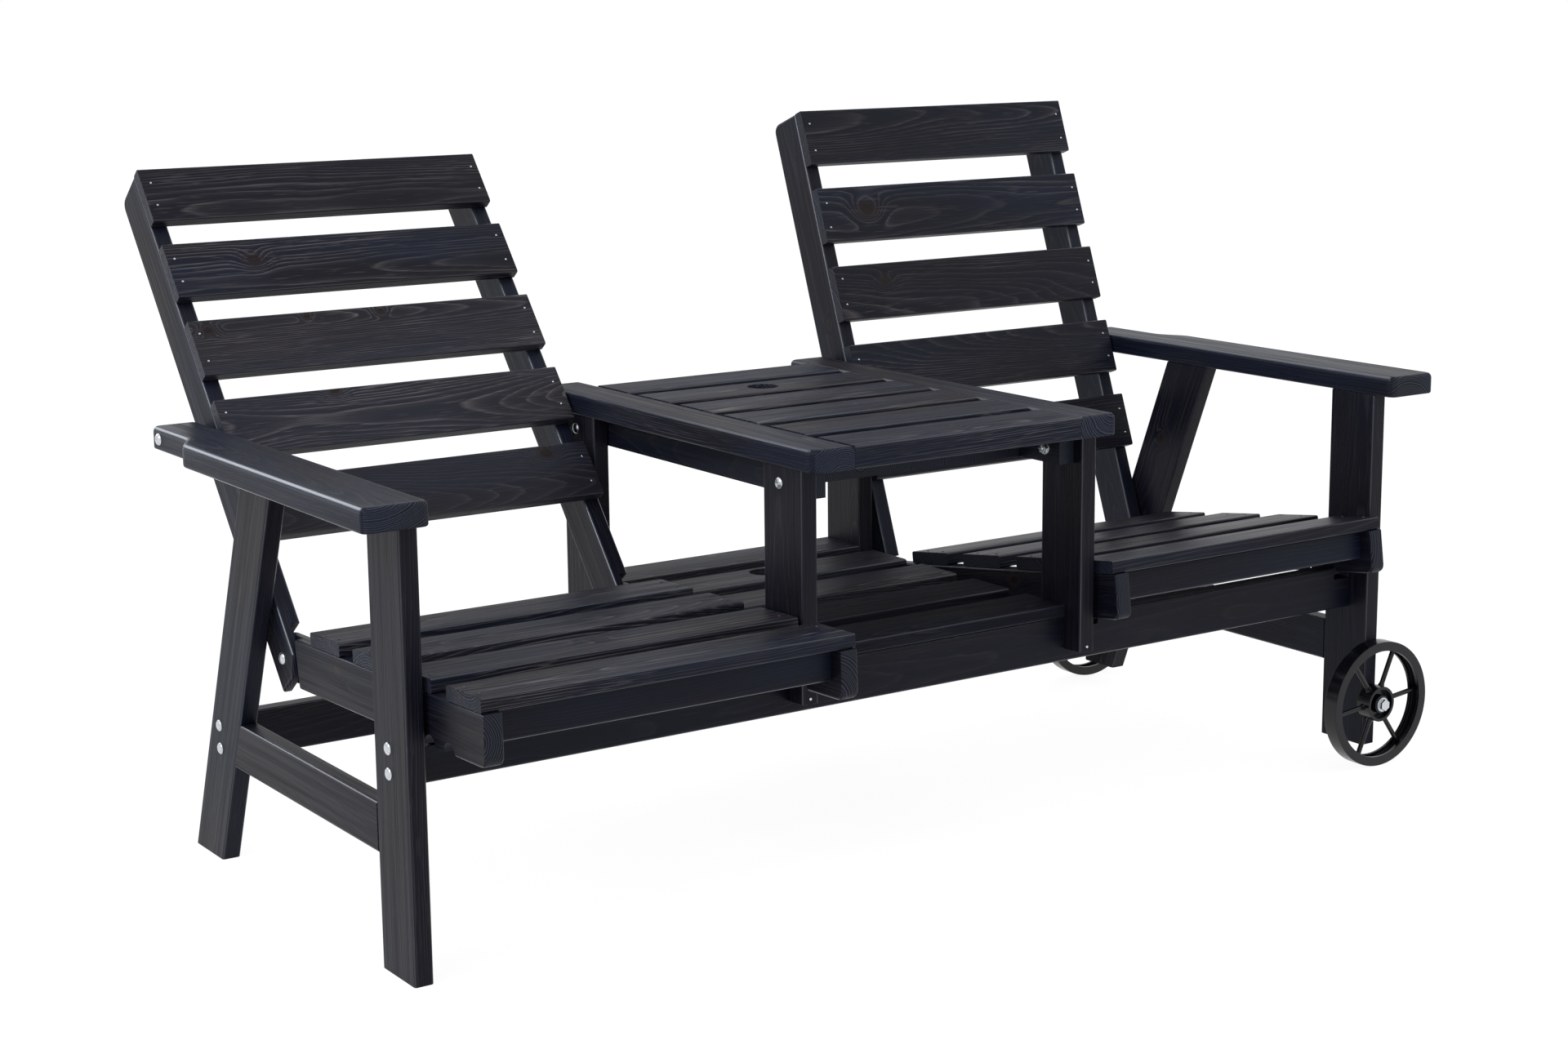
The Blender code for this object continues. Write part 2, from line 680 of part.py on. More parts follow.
def table(root):
    """The table's slats on two aprons, with the parasol slat loose between them."""
    plain = [index for index in range(TABLE_SLATS) if index != TABLE_PARASOL_SLAT]
    slats, tongues = table_slat_boards(plain, LEG_HEIGHT - JOIN_DEPTH)
    apron_low = LEG_HEIGHT - APRON_HIGH
    apron_rear = REAR_POST_BACK_Y + APRON_REAR_PAST
    aprons, crosses = [], []
    for side in (-1, 1):
        low, high = sorted((side * (HALF_POST_IN - SEAT_GAP), side * (HALF_POST_IN - FRAME_THICK)))
        aprons.append(((low, APRON_FRONT_Y, apron_low), (high, apron_rear, LEG_HEIGHT), ALONG_Y))
    reach = HALF_POST_IN - FRAME_THICK + JOIN_DEPTH
    top = TOP_Z + JOIN_DEPTH
    for front in (CROSS_FRONT_Y, CROSS_REAR_Y):
        crosses.append(((-reach, front, apron_low), (reach, front + FRAME_THICK, top), ALONG_X))
    extras = [("tongues", tongues, 0.0), ("aprons", aprons, 0.0), ("crosses", crosses, 0.0)]
    joined_boards("table_deck", slats, extras, "top_stain", root)
    slats, tongues = table_slat_boards([TABLE_PARASOL_SLAT], TOP_Z)
    loose = joined_boards("table_parasol_slat", slats, [("tongues", tongues, 0.0)], "top_stain", root)
    drill(loose, (0.0, PARASOL_Y, TOP_Z), PARASOL_ROUND, -OVERRUN, TOP_THICK + OVERRUN, "Z", PARASOL_SIDES)


def shelf_slat(index):
    """A shelf slat between the posts."""
    half = HALF_POST_IN - SEAT_GAP
    front = SHELF_FRONT_Y + index * SHELF_PITCH
    low = FRONT_RAIL_TOP + SEAT_GAP
    return (-half, front, low), (half, front + SLAT_WIDE, low + SLAT_THICK), ALONG_X


def shelf(root):
    """The shelf's slats on two bearers behind the front rail, with the parasol slat loose between them."""
    plain = [shelf_slat(index) for index in range(SHELF_SLATS) if index != SHELF_PARASOL_SLAT]
    low = FRONT_RAIL_TOP - SHELF_BEARER_HIGH
    high = FRONT_RAIL_TOP + SEAT_GAP + JOIN_DEPTH
    start = FRONT_RAIL_Y + FRAME_THICK + SEAT_GAP
    bearers = []
    for side in (-1, 1):
        near, far = sorted((side * (HALF_POST_IN - SEAT_GAP), side * (HALF_POST_IN - FRAME_THICK)))
        bearers.append(((near, start, low), (far, REAR_POST_BACK_Y, high), ALONG_Y))
    joined_boards("shelf_deck", plain, [("bearers", bearers, 0.0)], "frame_stain", root)
    start, end, along = shelf_slat(SHELF_PARASOL_SLAT)
    start = Vector(start) + Vector((0.0, 0.0, JOIN_DEPTH + SEAT_GAP))
    name = "shelf_parasol_slat"
    loose = piece(name, boards_mesh(name, [(start, end, along)]), "frame_stain", root)
    place = (0.0, PARASOL_Y, FRONT_RAIL_TOP)
    drill(loose, place, PARASOL_ROUND, -OVERRUN, SLAT_THICK + OVERRUN, "Z", PARASOL_SIDES)


# Chairs

def stile(name, x, hinge):
    """A side board of a back, drawn round the pivot bolt, halved at its foot for the seat rail."""
    points = rounded_outline([
        (-HALF_BOARD, -BACK_FOOT + BACK_CLIP, 0),
        (-HALF_BOARD + BACK_CLIP, -BACK_FOOT, 0),
        (HALF_BOARD, -BACK_FOOT, 0),
        (HALF_BOARD, BACK_RISE, BACK_CORNER),
        (-HALF_BOARD, BACK_RISE, 0),
    ])
    place = (x + CHAIR_THICK / 2, 0.0, 0.0)
    made = piece(name, side_board(name, points, CHAIR_THICK), "chair_stain", hinge, place)
    low = (-SEAT_GAP, -CHAIR_BOARD, -BACK_FOOT - OVERRUN)
    high = (CHAIR_THICK, CHAIR_BOARD, LAP_LENGTH - BACK_FOOT)
    cutter = helper(f"lap_{name}", boards_mesh(f"lap_{name}", [(low, high, ALONG_Z)], 0.0), hinge, place)
    boolean(made, cutter, "DIFFERENCE")
    drill(made, (x, 0.0, 0.0), HOLE_ROUND, -OVERRUN, CHAIR_THICK + OVERRUN)
    drill(made, (x, 0.0, -LINK_LENGTH), HOLE_ROUND, -OVERRUN, CHAIR_THICK + OVERRUN)
    return made


def chair_back(side, x, hinge):
    """A back: two stiles with slats nailed across their front edges."""
    for title, offset in (("left", 0.0), ("right", CHAIR_WIDE - CHAIR_THICK)):
        stile(f"{side}_back_stile_{title}", x + offset, hinge)
    front = -HALF_BOARD - SEAT_GAP
    for index in range(BACK_SLATS):
        top = BACK_RISE - index * SLAT_PITCH
        straight_board(
            f"{side}_back_slat_{index + 1}",
            (x, front - SLAT_THICK, top - SLAT_WIDE),
            (x + CHAIR_WIDE, front, top),
            ALONG_X, "chair_stain", hinge, SLAT_ROUND,
        )


def seat_rail(name, x, hinge):
    """A side board of a seat: a round tongue at the bolt and three notches for the front rail."""
    points = rounded_outline([
        (-SEAT_REACH, -HALF_BOARD, SEAT_CORNER),
        (0.0, -HALF_BOARD, 0),
        (0.0, HALF_BOARD, 0),
        (-SEAT_REACH, HALF_BOARD, 0),
    ])
    foot = len(points) - 3
    points[foot:foot + 2] = arc((0.0, 0.0), HALF_BOARD, -pi / 2, pi, 2 * (EDGE_STEPS + 2))
    place = (x + CHAIR_THICK / 2, 0.0, 0.0)
    made = piece(name, side_board(name, points, CHAIR_THICK), "chair_stain", hinge, place)
    drop = HALF_BOARD + OVERRUN
    lean = (SHOULDER_FOOT - SHOULDER_TOP) / CHAIR_BOARD * drop
    middle = (SHOULDER_TOP + SHOULDER_FOOT) / 2
    lap = [(-middle - lean, -drop), (drop, -drop), (drop, drop), (-middle + lean, drop)]
    shape = flat_outline(f"lap_{name}", lap, CHAIR_THICK)
    shape.transform(SIDE_ON)
    cutter = helper(f"lap_{name}", mesh_from(f"lap_{name}", shape), hinge, (x + SEAT_GAP, 0.0, 0.0))
    boolean(made, cutter, "DIFFERENCE")
    drill(made, (x, 0.0, 0.0), HOLE_ROUND, -OVERRUN, CHAIR_THICK + OVERRUN)
    for notch in range(3):
        drill(
            made, (x, -notch_place(notch), -HALF_BOARD), NOTCH_ROUND, -OVERRUN, CHAIR_THICK + OVERRUN,
            sides=PARASOL_SIDES,
        )
    return made


def chair_seat(side, x, hinge):
    """A seat: two rails, four slats nailed on top and an apron between the rails at the front."""
    for title, offset in (("left", 0.0), ("right", CHAIR_WIDE - CHAIR_THICK)):
        seat_rail(f"{side}_seat_rail_{title}", x + offset, hinge)
    low = HALF_BOARD + SEAT_GAP
    for index in range(SEAT_SLATS):
        front = index * SEAT_PITCH - SEAT_SLAT_FRONT
        straight_board(
            f"{side}_seat_slat_{index + 1}",
            (x, front, low),
            (x + CHAIR_WIDE, front + SLAT_WIDE, low + SLAT_THICK),
            ALONG_X, "chair_stain", hinge, SLAT_ROUND,
        )
    front = SEAT_APRON_BACK - SEAT_REACH
    inset = CHAIR_THICK + SEAT_GAP
    straight_board(
        f"{side}_seat_apron",
        (x + inset, front, HALF_BOARD - SEAT_APRON_HIGH),
        (x + CHAIR_WIDE - inset, front + CHAIR_THICK, HALF_BOARD),
        ALONG_X, "chair_stain", hinge,
    )


# Bolts and wheels

def turned(name, profile, sides, axis, look, parent, location):
    """A turned piece: a profile of (radius, height) places swept round Z, then laid along an axis."""
    shape = bmesh.new()
    ends = [shape.verts.new((radius, 0.0, height)) for radius, height in profile]
    for first, second in zip(ends, ends[1:]):
        shape.edges.new((first, second))
    mesh = bpy.data.meshes.new(name)
    shape.to_mesh(mesh)
    shape.free()
    made = piece(name, mesh, look, parent, location)
    made.rotation_euler = axis
    add_screw(made, sides)
    return made


def add_screw(made, sides):
    """Sweep a profile right round its Z axis."""
    screw = made.modifiers.new("turn", "SCREW")
    screw.axis = "Z"
    screw.angle = 2 * pi
    screw.steps = sides
    screw.render_steps = sides
    screw.use_merge_vertices = True
    screw.merge_threshold = RUNNING_GAP / 10
    screw.use_smooth_shade = True


def dome(top, high, radius):
    """Profile points of a low domed head, from its crown to its rim."""
    points = []
    for step in range(HEAD_STEPS + 1):
        angle = pi / 2 * step / HEAD_STEPS
        points.append((radius * sin(angle), top - high + high * cos(angle)))
    return points


def hex_prism(name, radius, low, high, parent, location, turn):
    """A six-sided helper along its own Z, between two heights."""
    mesh = cylinder_mesh(name, radius, low, high, "Z", 6)
    made = helper(name, mesh, parent, location)
    made.rotation_euler = turn
    return made


def pivot_bolt(name, head_x, far_x, collar, place, parent, head_high=HEAD_HIGH, nut_high=NUT_HIGH):
    """A bolt along X with a domed head, a nut at its far end and, where named, a spacer collar on its way."""
    way = 1 if far_x > head_x else -1
    length = abs(far_x - head_x) + SEAT_GAP * 2
    turn = (0.0, -way * pi / 2, 0.0)
    profile = dome(head_high, head_high, HEAD_ROUND) + [(BOLT_ROUND, 0.0)]
    if collar:
        near, far = collar
        profile += [
            (BOLT_ROUND, -near - SEAT_GAP * 2), (COLLAR_ROUND, -near - SEAT_GAP * 2),
            (COLLAR_ROUND, -far), (BOLT_ROUND, -far),
        ]
    profile += [(BOLT_ROUND, -length - nut_high), (0.0, -length - nut_high)]
    start = (head_x - way * SEAT_GAP, *place)
    made = turned(name, profile, BOLT_SIDES, turn, "zinc", parent, start)
    low = -length - nut_high * NUT_HEX_SHARE
    nut = hex_prism(f"nut_{name}", NUT_ROUND, low, -length, parent, start, turn)
    boolean(made, nut, "UNION")
    return made


def back_bolts(side, x, root):
    """The two bolts that a back turns on, with heads on the armrest and on the table plank."""
    boards = (ARM_NARROW, PLANK_WIDE) if side == "left" else (PLANK_WIDE, ARM_NARROW)
    for title, way, end, board in (("left", 1, x, boards[0]), ("right", -1, x + CHAIR_WIDE, boards[1])):
        head_x = end - way * (CHAIR_SIDE_GAP + board)
        far_x = end + way * CHAIR_THICK
        collar = (board, board + CHAIR_SIDE_GAP)
        pivot_bolt(f"{side}_back_bolt_{title}", head_x, far_x, collar, (PIVOT_Y, PIVOT_Z), root)


def seat_bolts(side, x, hinge):
    """The two bolts that join a seat's tongues to the foot of its back."""
    for title, offset in (("left", 0.0), ("right", CHAIR_WIDE - CHAIR_THICK)):
        start = x + offset
        pivot_bolt(
            f"{side}_seat_bolt_{title}", start, start + CHAIR_THICK, None, (0.0, -LINK_LENGTH), hinge,
            LOW_HEAD_HIGH, LOW_NUT_HIGH,
        )


def wheel(name, back_face, root, facing):
    """A spoked wheel on an axle along Y; facing is the side that its hub dish and bolt head look to."""
    half = WHEEL_WIDE / 2
    middle = back_face + facing * half
    inner = WHEEL_ROUND - RIM_LIP_DEEP
    web = WHEEL_ROUND - RIM_WEB
    lip = half - RIM_LIP_WIDE
    tread = WHEEL_ROUND - TREAD_ROUND
    rim = [
        (tread, half), (WHEEL_ROUND, half - TREAD_ROUND), (WHEEL_ROUND, TREAD_ROUND - half), (tread, -half),
        (inner, -half), (inner, -lip), (web, -lip), (web, lip), (inner, lip), (inner, half), (tread, half),
    ]
    turn = (facing * -pi / 2, 0.0, 0.0)
    place = (WHEEL_X, middle, WHEEL_ROUND)
    made = turned(name, rim, WHEEL_SIDES, turn, "wheel_black", root, place)
    bore, dish = AXLE_HOLE_ROUND, HUB_ROUND - HUB_WALL
    hub = [
        (bore, half + SLEEVE_PROUD), (SLEEVE_ROUND, half + SLEEVE_PROUD), (SLEEVE_ROUND, half - HUB_DISH),
        (dish, half - HUB_DISH), (dish, half + HUB_PROUD), (HUB_ROUND, half + HUB_PROUD),
        (HUB_ROUND, -half), (bore, -half), (bore, half + SLEEVE_PROUD),
    ]
    core = turned(f"hub_{name}", hub, HUB_SIDES, turn, "wheel_black", root, place)
    BENCH.objects.unlink(core)
    CUTTERS.objects.link(core)
    core.hide_render = True
    core.display_type = "WIRE"
    spokes = helper(f"spokes_{name}", spokes_mesh(f"spokes_{name}", web), root, place)
    spokes.rotation_euler = turn
    boolean(made, spokes, "UNION")
    boolean(made, core, "UNION")
    return made


def spokes_mesh(name, web):
    """Round spokes from the hub's wall to the rim's web."""
    shape = bmesh.new()
    start = HUB_ROUND - HUB_WALL / 2
    end = web + SPOKE_BITE
    for index in range(SPOKES):
        angle = SPOKE_TURN + 2 * pi * index / SPOKES
        turn = Matrix.Rotation(angle, 4, "Z") @ Matrix.Rotation(pi / 2, 4, "Y")
        bmesh.ops.create_cone(
            shape, cap_ends=True, segments=SPOKE_SIDES, radius1=SPOKE_ROUND, radius2=SPOKE_ROUND,
            depth=end - start, matrix=turn @ Matrix.Translation((0.0, 0.0, (start + end) / 2)),
        )
    return mesh_from(name, shape)


def axle_bolt(name, back_face, root, facing):
    """A hexagon bolt through a wheel into the end of a leg, with its washer."""
    front = WHEEL_WIDE + SLEEVE_PROUD + SEAT_GAP
    profile = [
        (0.0, front + WASHER_THICK), (WASHER_ROUND, front + WASHER_THICK), (WASHER_ROUND, front),
        (AXLE_ROUND, front), (AXLE_ROUND, -AXLE_GRIP), (0.0, -AXLE_GRIP),
    ]
    turn = (facing * -pi / 2, 0.0, 0.0)
    place = (WHEEL_X, back_face, WHEEL_ROUND)
    made = turned(name, profile, BOLT_SIDES, turn, "zinc", root, place)
    head_low = front + WASHER_THICK / 2
    head_top = front + WASHER_THICK + AXLE_HEX_HIGH
    head = hex_prism(f"head_{name}", AXLE_HEX, head_low, head_top, root, place, turn)
    boolean(made, head, "UNION")
    return made


# Assembly

def chair(side, x, lean, slope, root):
    """One reclining chair in its place, with its back at a lean and its seat at a slope."""
    back = pivot(f"{side}_back_pivot", root, (0.0, PIVOT_Y, PIVOT_Z), -lean)
    seat = pivot(f"{side}_seat_pivot", back, (0.0, 0.0, -LINK_LENGTH), lean - slope)
    chair_back(side, x, back)
    chair_seat(side, x, seat)
    back_bolts(side, x, root)
    seat_bolts(side, x, back)


def centre_on_floor(root):
    """Slide the bench level until its bounding box is centred on the origin."""
    bpy.context.view_layer.update()
    graph = bpy.context.evaluated_depsgraph_get()
    places = []
    for made in BENCH.objects:
        if made.type == "MESH":
            shaped = made.evaluated_get(graph)
            places += [shaped.matrix_world @ vertex.co for vertex in shaped.data.vertices]
    root.location.x = -(min(place.x for place in places) + max(place.x for place in places)) / 2
    root.location.y = -(min(place.y for place in places) + max(place.y for place in places)) / 2


def build():
    """Put the whole bench together under one empty."""
    root = pivot("bench", None, (0.0, 0.0, 0.0))
    for side in (-1, 1):
        front_leg(side, root)
        rear_leg(side, root)
        stretcher(side, root)
        armrest(side, root)
        table_plank(side, root)
        for rear in (False, True):
            post(side, rear, root)
    rail = long_rail("front_rail", FRONT_RAIL_Y, FRONT_RAIL_TOP, root)
    relieve_front_rail(rail, root)
    long_rail("rear_rail", REAR_RAIL_Y, REAR_RAIL_TOP, root)
    table(root)
    shelf(root)
    chair("left", LEFT_CHAIR_X, LEFT_LEAN, LEFT_SLOPE, root)
    chair("right", RIGHT_CHAIR_X, RIGHT_LEAN, RIGHT_SLOPE, root)
    front_face = -SEAT_GAP
    rear_face = rear_edge(WHEEL_ROUND) + WHEEL_LEG_GAP
    for title, face, facing in (("front", front_face, -1), ("rear", rear_face, 1)):
        wheel(f"wheel_{title}", face, root, facing)
        axle_bolt(f"axle_bolt_{title}", face, root, facing)
    centre_on_floor(root)
    return root


build()
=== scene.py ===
# %% [markdown]
# # A two-seat garden bench in black-stained pine
#
# The bench has two slatted chairs, and a slatted table and shelf between them. It is plain pine,
# planed, rounded along its edges and brushed with a thin black stain that lets the grain show.
# Zinc-plated bolts and nails hold it together, and two spoked wheels carry its right end.
#
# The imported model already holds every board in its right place. The lesson here is how to make
# those boards look like wood: each one gets its own cut from a log, and its own small knots.

import json
from math import cos, pi, radians, sin
from random import Random

import bmesh
import bpy
from mathutils import Matrix, Vector

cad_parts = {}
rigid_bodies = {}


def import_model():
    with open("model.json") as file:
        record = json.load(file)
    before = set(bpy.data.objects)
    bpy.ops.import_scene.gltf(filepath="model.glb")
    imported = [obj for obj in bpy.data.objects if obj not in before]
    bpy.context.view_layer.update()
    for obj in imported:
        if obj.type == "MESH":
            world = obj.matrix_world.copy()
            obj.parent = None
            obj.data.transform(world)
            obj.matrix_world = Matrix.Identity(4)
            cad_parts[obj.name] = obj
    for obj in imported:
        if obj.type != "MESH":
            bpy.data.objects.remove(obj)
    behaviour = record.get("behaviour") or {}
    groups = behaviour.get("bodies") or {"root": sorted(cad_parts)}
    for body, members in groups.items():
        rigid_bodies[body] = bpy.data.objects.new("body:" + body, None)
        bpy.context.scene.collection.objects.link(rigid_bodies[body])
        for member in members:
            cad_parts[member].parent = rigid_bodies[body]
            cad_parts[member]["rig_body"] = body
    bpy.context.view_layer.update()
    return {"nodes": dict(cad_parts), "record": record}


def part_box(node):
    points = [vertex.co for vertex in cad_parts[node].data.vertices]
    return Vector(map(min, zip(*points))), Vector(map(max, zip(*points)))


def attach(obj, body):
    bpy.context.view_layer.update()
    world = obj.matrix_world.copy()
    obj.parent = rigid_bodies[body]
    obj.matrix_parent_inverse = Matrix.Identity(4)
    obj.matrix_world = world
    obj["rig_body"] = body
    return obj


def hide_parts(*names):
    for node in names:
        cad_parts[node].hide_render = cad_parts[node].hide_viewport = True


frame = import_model()
nodes = frame["nodes"]
slots = {entry["node"]: entry["material_slot"] for entry in frame["record"]["subparts"]}

# %% [markdown]
# ## Where the camera stands
#
# The photograph was taken from the left and slightly above, about four metres away. The camera
# stands where the lines of the legs, rails and armrests meet the lines in the photograph. A yaw
# turns it to the right, a pitch looks down a little, and a very small roll levels the horizon.
# The two shifts put the middle of the lens where the photograph has it. It could be moved by eye,
# but so many long straight boards show even a small error.

# %% Camera
CAMERA_PLACE = Vector((-2.3388, -3.4262, 1.2875))
YAW, PITCH, ROLL = 0.600, 0.197, -0.008
SENSOR_WIDE = 36
FOCAL_LENGTH = 61.41
SHIFT_X, SHIFT_Y = -0.0105, -0.0067


def add_object(name, data):
    """Put a mesh, a camera or a lamp into the scene."""
    made = bpy.data.objects.new(name, data)
    bpy.context.scene.collection.objects.link(made)
    return made


lens = bpy.data.cameras.new("camera")
lens.sensor_width = SENSOR_WIDE
lens.lens = FOCAL_LENGTH
lens.shift_x = SHIFT_X
lens.shift_y = SHIFT_Y
camera = add_object("camera", lens)
camera.matrix_world = (
    Matrix.Translation(CAMERA_PLACE)
    @ Matrix.Rotation(-YAW, 4, "Z")
    @ Matrix.Rotation(pi / 2 - PITCH, 4, "X")
    @ Matrix.Rotation(ROLL, 4, "Z")
)
bpy.context.scene.camera = camera
print("camera looks along", camera.matrix_world.to_3x3() @ Vector((0, 0, -1)))

# %% [markdown]
# ## Building shaders in short lines
#
# A shader is a graph of nodes. Writing each node and each link on its own line makes long, dull
# code, so a few small helpers do it: one plugs a value or another node's output into a socket,
# one adds a node with its settings and inputs, and the others each add one common node. With
# them, the rest of the shader code reads like a formula.

# %% Shader helpers
def plug(tree, socket, value):
    """Link an output into a socket, or set the socket to a plain value."""
    if isinstance(value, bpy.types.NodeSocket):
        tree.links.new(value, socket)
    else:
        socket.default_value = value


def node(tree, kind, inputs=None, **settings):
    """Add a node, change its settings and fill its inputs."""
    made = tree.nodes.new(kind)
    for key, value in settings.items():
        setattr(made, key, value)
    for key, value in (inputs or {}).items():
        plug(tree, made.inputs[key], value)
    return made


def sums(tree, operation, *values):
    """One Math node."""
    return node(tree, "ShaderNodeMath", dict(enumerate(values)), operation=operation).outputs[0]


def vector_sums(tree, operation, *values):
    """One Vector Math node."""
    return node(tree, "ShaderNodeVectorMath", dict(enumerate(values)), operation=operation).outputs[0]


def blend_colours(tree, share, first, second):
    """Mix two colours."""
    made = node(tree, "ShaderNodeMix", data_type="RGBA")
    for key, value in ((0, share), (6, first), (7, second)):
        plug(tree, made.inputs[key], value)
    return made.outputs[2]


def smooth_step(tree, value, low, high):
    """Rise smoothly from 0 to 1 between two values."""
    inputs = {"Value": value, "From Min": low, "From Max": high}
    return node(tree, "ShaderNodeMapRange", inputs, interpolation_type="SMOOTHSTEP").outputs["Result"]


def new_group(name, inputs, outputs):
    """A node group with named sockets, and its two end nodes."""
    tree = bpy.data.node_groups.new(name, "ShaderNodeTree")
    for title, kind, value in inputs:
        socket = tree.interface.new_socket(title, in_out="INPUT", socket_type=f"NodeSocket{kind}")
        socket.default_value = value
    for title, kind in outputs:
        tree.interface.new_socket(title, in_out="OUTPUT", socket_type=f"NodeSocket{kind}")
    return tree, node(tree, "NodeGroupInput").outputs, node(tree, "NodeGroupOutput").inputs


print("shader helpers ready")

# %% [markdown]
# ## A knot
#
# A knot is the foot of a branch. The grain runs round it like water round a stone, and its own
# heart is darker. A dark spot painted over straight grain would look like a stain, so this group
# bends the grain too. It takes a place on the board, the knot's middle and its size. It gives a
# mask for the heart, a mask for the reddish rim, and a push that moves the year rings aside.

# %% Knot group
KNOT_OVAL = (0.75, 1.0, 0.0)
KNOT_RAGGED = 0.5
KNOT_RAGGED_SCALE = 180.0
KNOT_SMALLEST = 0.00001
HEART_RIM = (0.75, 1.05)
HALO_RIM = (0.95, 2.2)
PUSH_SHARE = 1.6
PUSH_FADE = -0.22

knot_group, taken, given = new_group(
    "knot",
    [("Place", "Vector", (0, 0, 0)), ("Middle", "Vector", (0, 0, 0)), ("Size", "Float", 0.0)],
    [("Heart", "Float"), ("Halo", "Float"), ("Push", "Float")],
)
away = vector_sums(knot_group, "SUBTRACT", taken["Place"], taken["Middle"])
away = vector_sums(knot_group, "MULTIPLY", away, KNOT_OVAL)
span = node(knot_group, "ShaderNodeVectorMath", {0: away}, operation="LENGTH").outputs["Value"]
span = sums(knot_group, "DIVIDE", span, sums(knot_group, "MAXIMUM", taken["Size"], KNOT_SMALLEST))
inputs = {"Vector": taken["Place"], "Scale": KNOT_RAGGED_SCALE, "Detail": 2.0}
ragged = node(knot_group, "ShaderNodeTexNoise", inputs).outputs["Fac"]
ragged_span = sums(knot_group, "ADD", span, -KNOT_RAGGED / 2)
ragged_span = sums(knot_group, "MULTIPLY_ADD", ragged, KNOT_RAGGED, ragged_span)
heart = sums(knot_group, "SUBTRACT", 1.0, smooth_step(knot_group, ragged_span, *HEART_RIM))
halo = sums(knot_group, "SUBTRACT", 1.0, smooth_step(knot_group, ragged_span, *HALO_RIM))
fade = sums(knot_group, "MULTIPLY", sums(knot_group, "MULTIPLY", span, span), PUSH_FADE)
push = sums(knot_group, "MULTIPLY", taken["Size"], PUSH_SHARE)
push = sums(knot_group, "MULTIPLY", sums(knot_group, "EXPONENT", fade), push)
plug(knot_group, given["Heart"], heart)
plug(knot_group, given["Halo"], halo)
plug(knot_group, given["Push"], push)
print("knot group has", len(knot_group.nodes), "nodes")

# %% [markdown]
# ## Pine under black stain
#
# A board is a slice of a log, so the pattern is made in three dimensions: the distance from the
# heart of the log, cut into year rings. Where a board runs parallel to the log its face shows
# straight lines, where it leans the rings close into arches, and its cut ends show arcs. All
# three come from one formula, which a painted picture of wood could not do.
#
# The group's inputs say how one board was cut: where the log's heart lies beside and behind it,
# how much the board leans and bows against the log, how wide the rings are, how brown it is, how
# much blue it shows, which is partly the stain and partly a painted reflection of the sky, how much
# painted light lifts it, how dull it is, how worn its edges are, which also paints a highlight
# there, and where up to three knots are. Two masks, Edge and End, come from the board's own mesh.

# %% Stained pine group
pine_group, taken, given = new_group(
    "stained pine",
    [
        ("Place", "Vector", (0, 0, 0)),
        ("Seed", "Float", 0.0),
        ("Heart Across", "Float", 0.02),
        ("Heart Behind", "Float", 0.06),
        ("Lean", "Float", 0.03),
        ("Bow", "Float", 0.0),
        ("Ring Width", "Float", 0.0035),
        ("Brown", "Float", 0.6),
        ("Blue", "Float", 0.4),
        ("Painted Light", "Float", 0.0),
        ("Dull", "Float", 0.0),
        ("Wear And Highlight", "Float", 0.35),
        ("Edge", "Float", 0.0),
        ("End", "Float", 0.0),
        ("Knot One", "Vector", (0, 0, 0)),
        ("Knot One Size", "Float", 0.0),
        ("Knot Two", "Vector", (0, 0, 0)),
        ("Knot Two Size", "Float", 0.0),
        ("Knot Three", "Vector", (0, 0, 0)),
        ("Knot Three Size", "Float", 0.0),
    ],
    [("Color", "Color"), ("Roughness", "Float"), ("Coat", "Float"), ("Height", "Float")],
)


def pine(operation, *values):
    """One Math node in the pine group."""
    return sums(pine_group, operation, *values)


def pine_step(value, low, high):
    """A smooth step in the pine group."""
    return smooth_step(pine_group, value, low, high)


def pine_noise(along, across, detail, offset):
    """A noise that changes so many times a metre along and across the grain, new for each board."""
    place = vector_sums(pine_group, "MULTIPLY", taken["Place"], (along, across, across))
    inputs = {"Vector": place, "W": pine("ADD", taken["Seed"], offset), "Scale": 1.0, "Detail": detail}
    return node(pine_group, "ShaderNodeTexNoise", inputs, noise_dimensions="4D").outputs


print("stained pine group takes", len(taken) - 1, "values")

# %% [markdown]
# ## How far each point is from the heart of the log
#
# A tree never grows quite straight. A slow noise bends the whole log by about a centimetre, and a
# quick one ripples the rings by less than a millimetre. Then the distance from the log's heart is
# the root of two squares, and each knot adds a little to it around itself. A board that leans
# against the log cuts its rings in long arches, and one that bows as well closes them at one place.

# %% Distance from the heart
WANDER = 0.035
RIPPLE = 0.0018


def drift(noise, reach):
    """A small shift across the board from a noise's colour."""
    centred = vector_sums(pine_group, "SUBTRACT", noise["Color"], (0.5, 0.5, 0.5))
    return vector_sums(pine_group, "MULTIPLY", centred, (0.0, reach, reach))


wander = drift(pine_noise(1.6, 6.0, 2.0, 0.0), WANDER)
ripple = drift(pine_noise(14.0, 60.0, 1.0, 3.1), RIPPLE)
log_place = vector_sums(pine_group, "ADD", taken["Place"], wander)
log_place = vector_sums(pine_group, "ADD", log_place, ripple)
parts = node(pine_group, "ShaderNodeSeparateXYZ", {0: log_place}).outputs
across = pine("ADD", parts["Y"], taken["Heart Across"])
behind = pine("ADD", parts["Z"], taken["Heart Behind"])
slope = pine("MULTIPLY_ADD", parts["X"], taken["Bow"], taken["Lean"])
behind = pine("MULTIPLY_ADD", parts["X"], slope, behind)
from_heart = pine("SQRT", pine("ADD", pine("MULTIPLY", across, across), pine("MULTIPLY", behind, behind)))

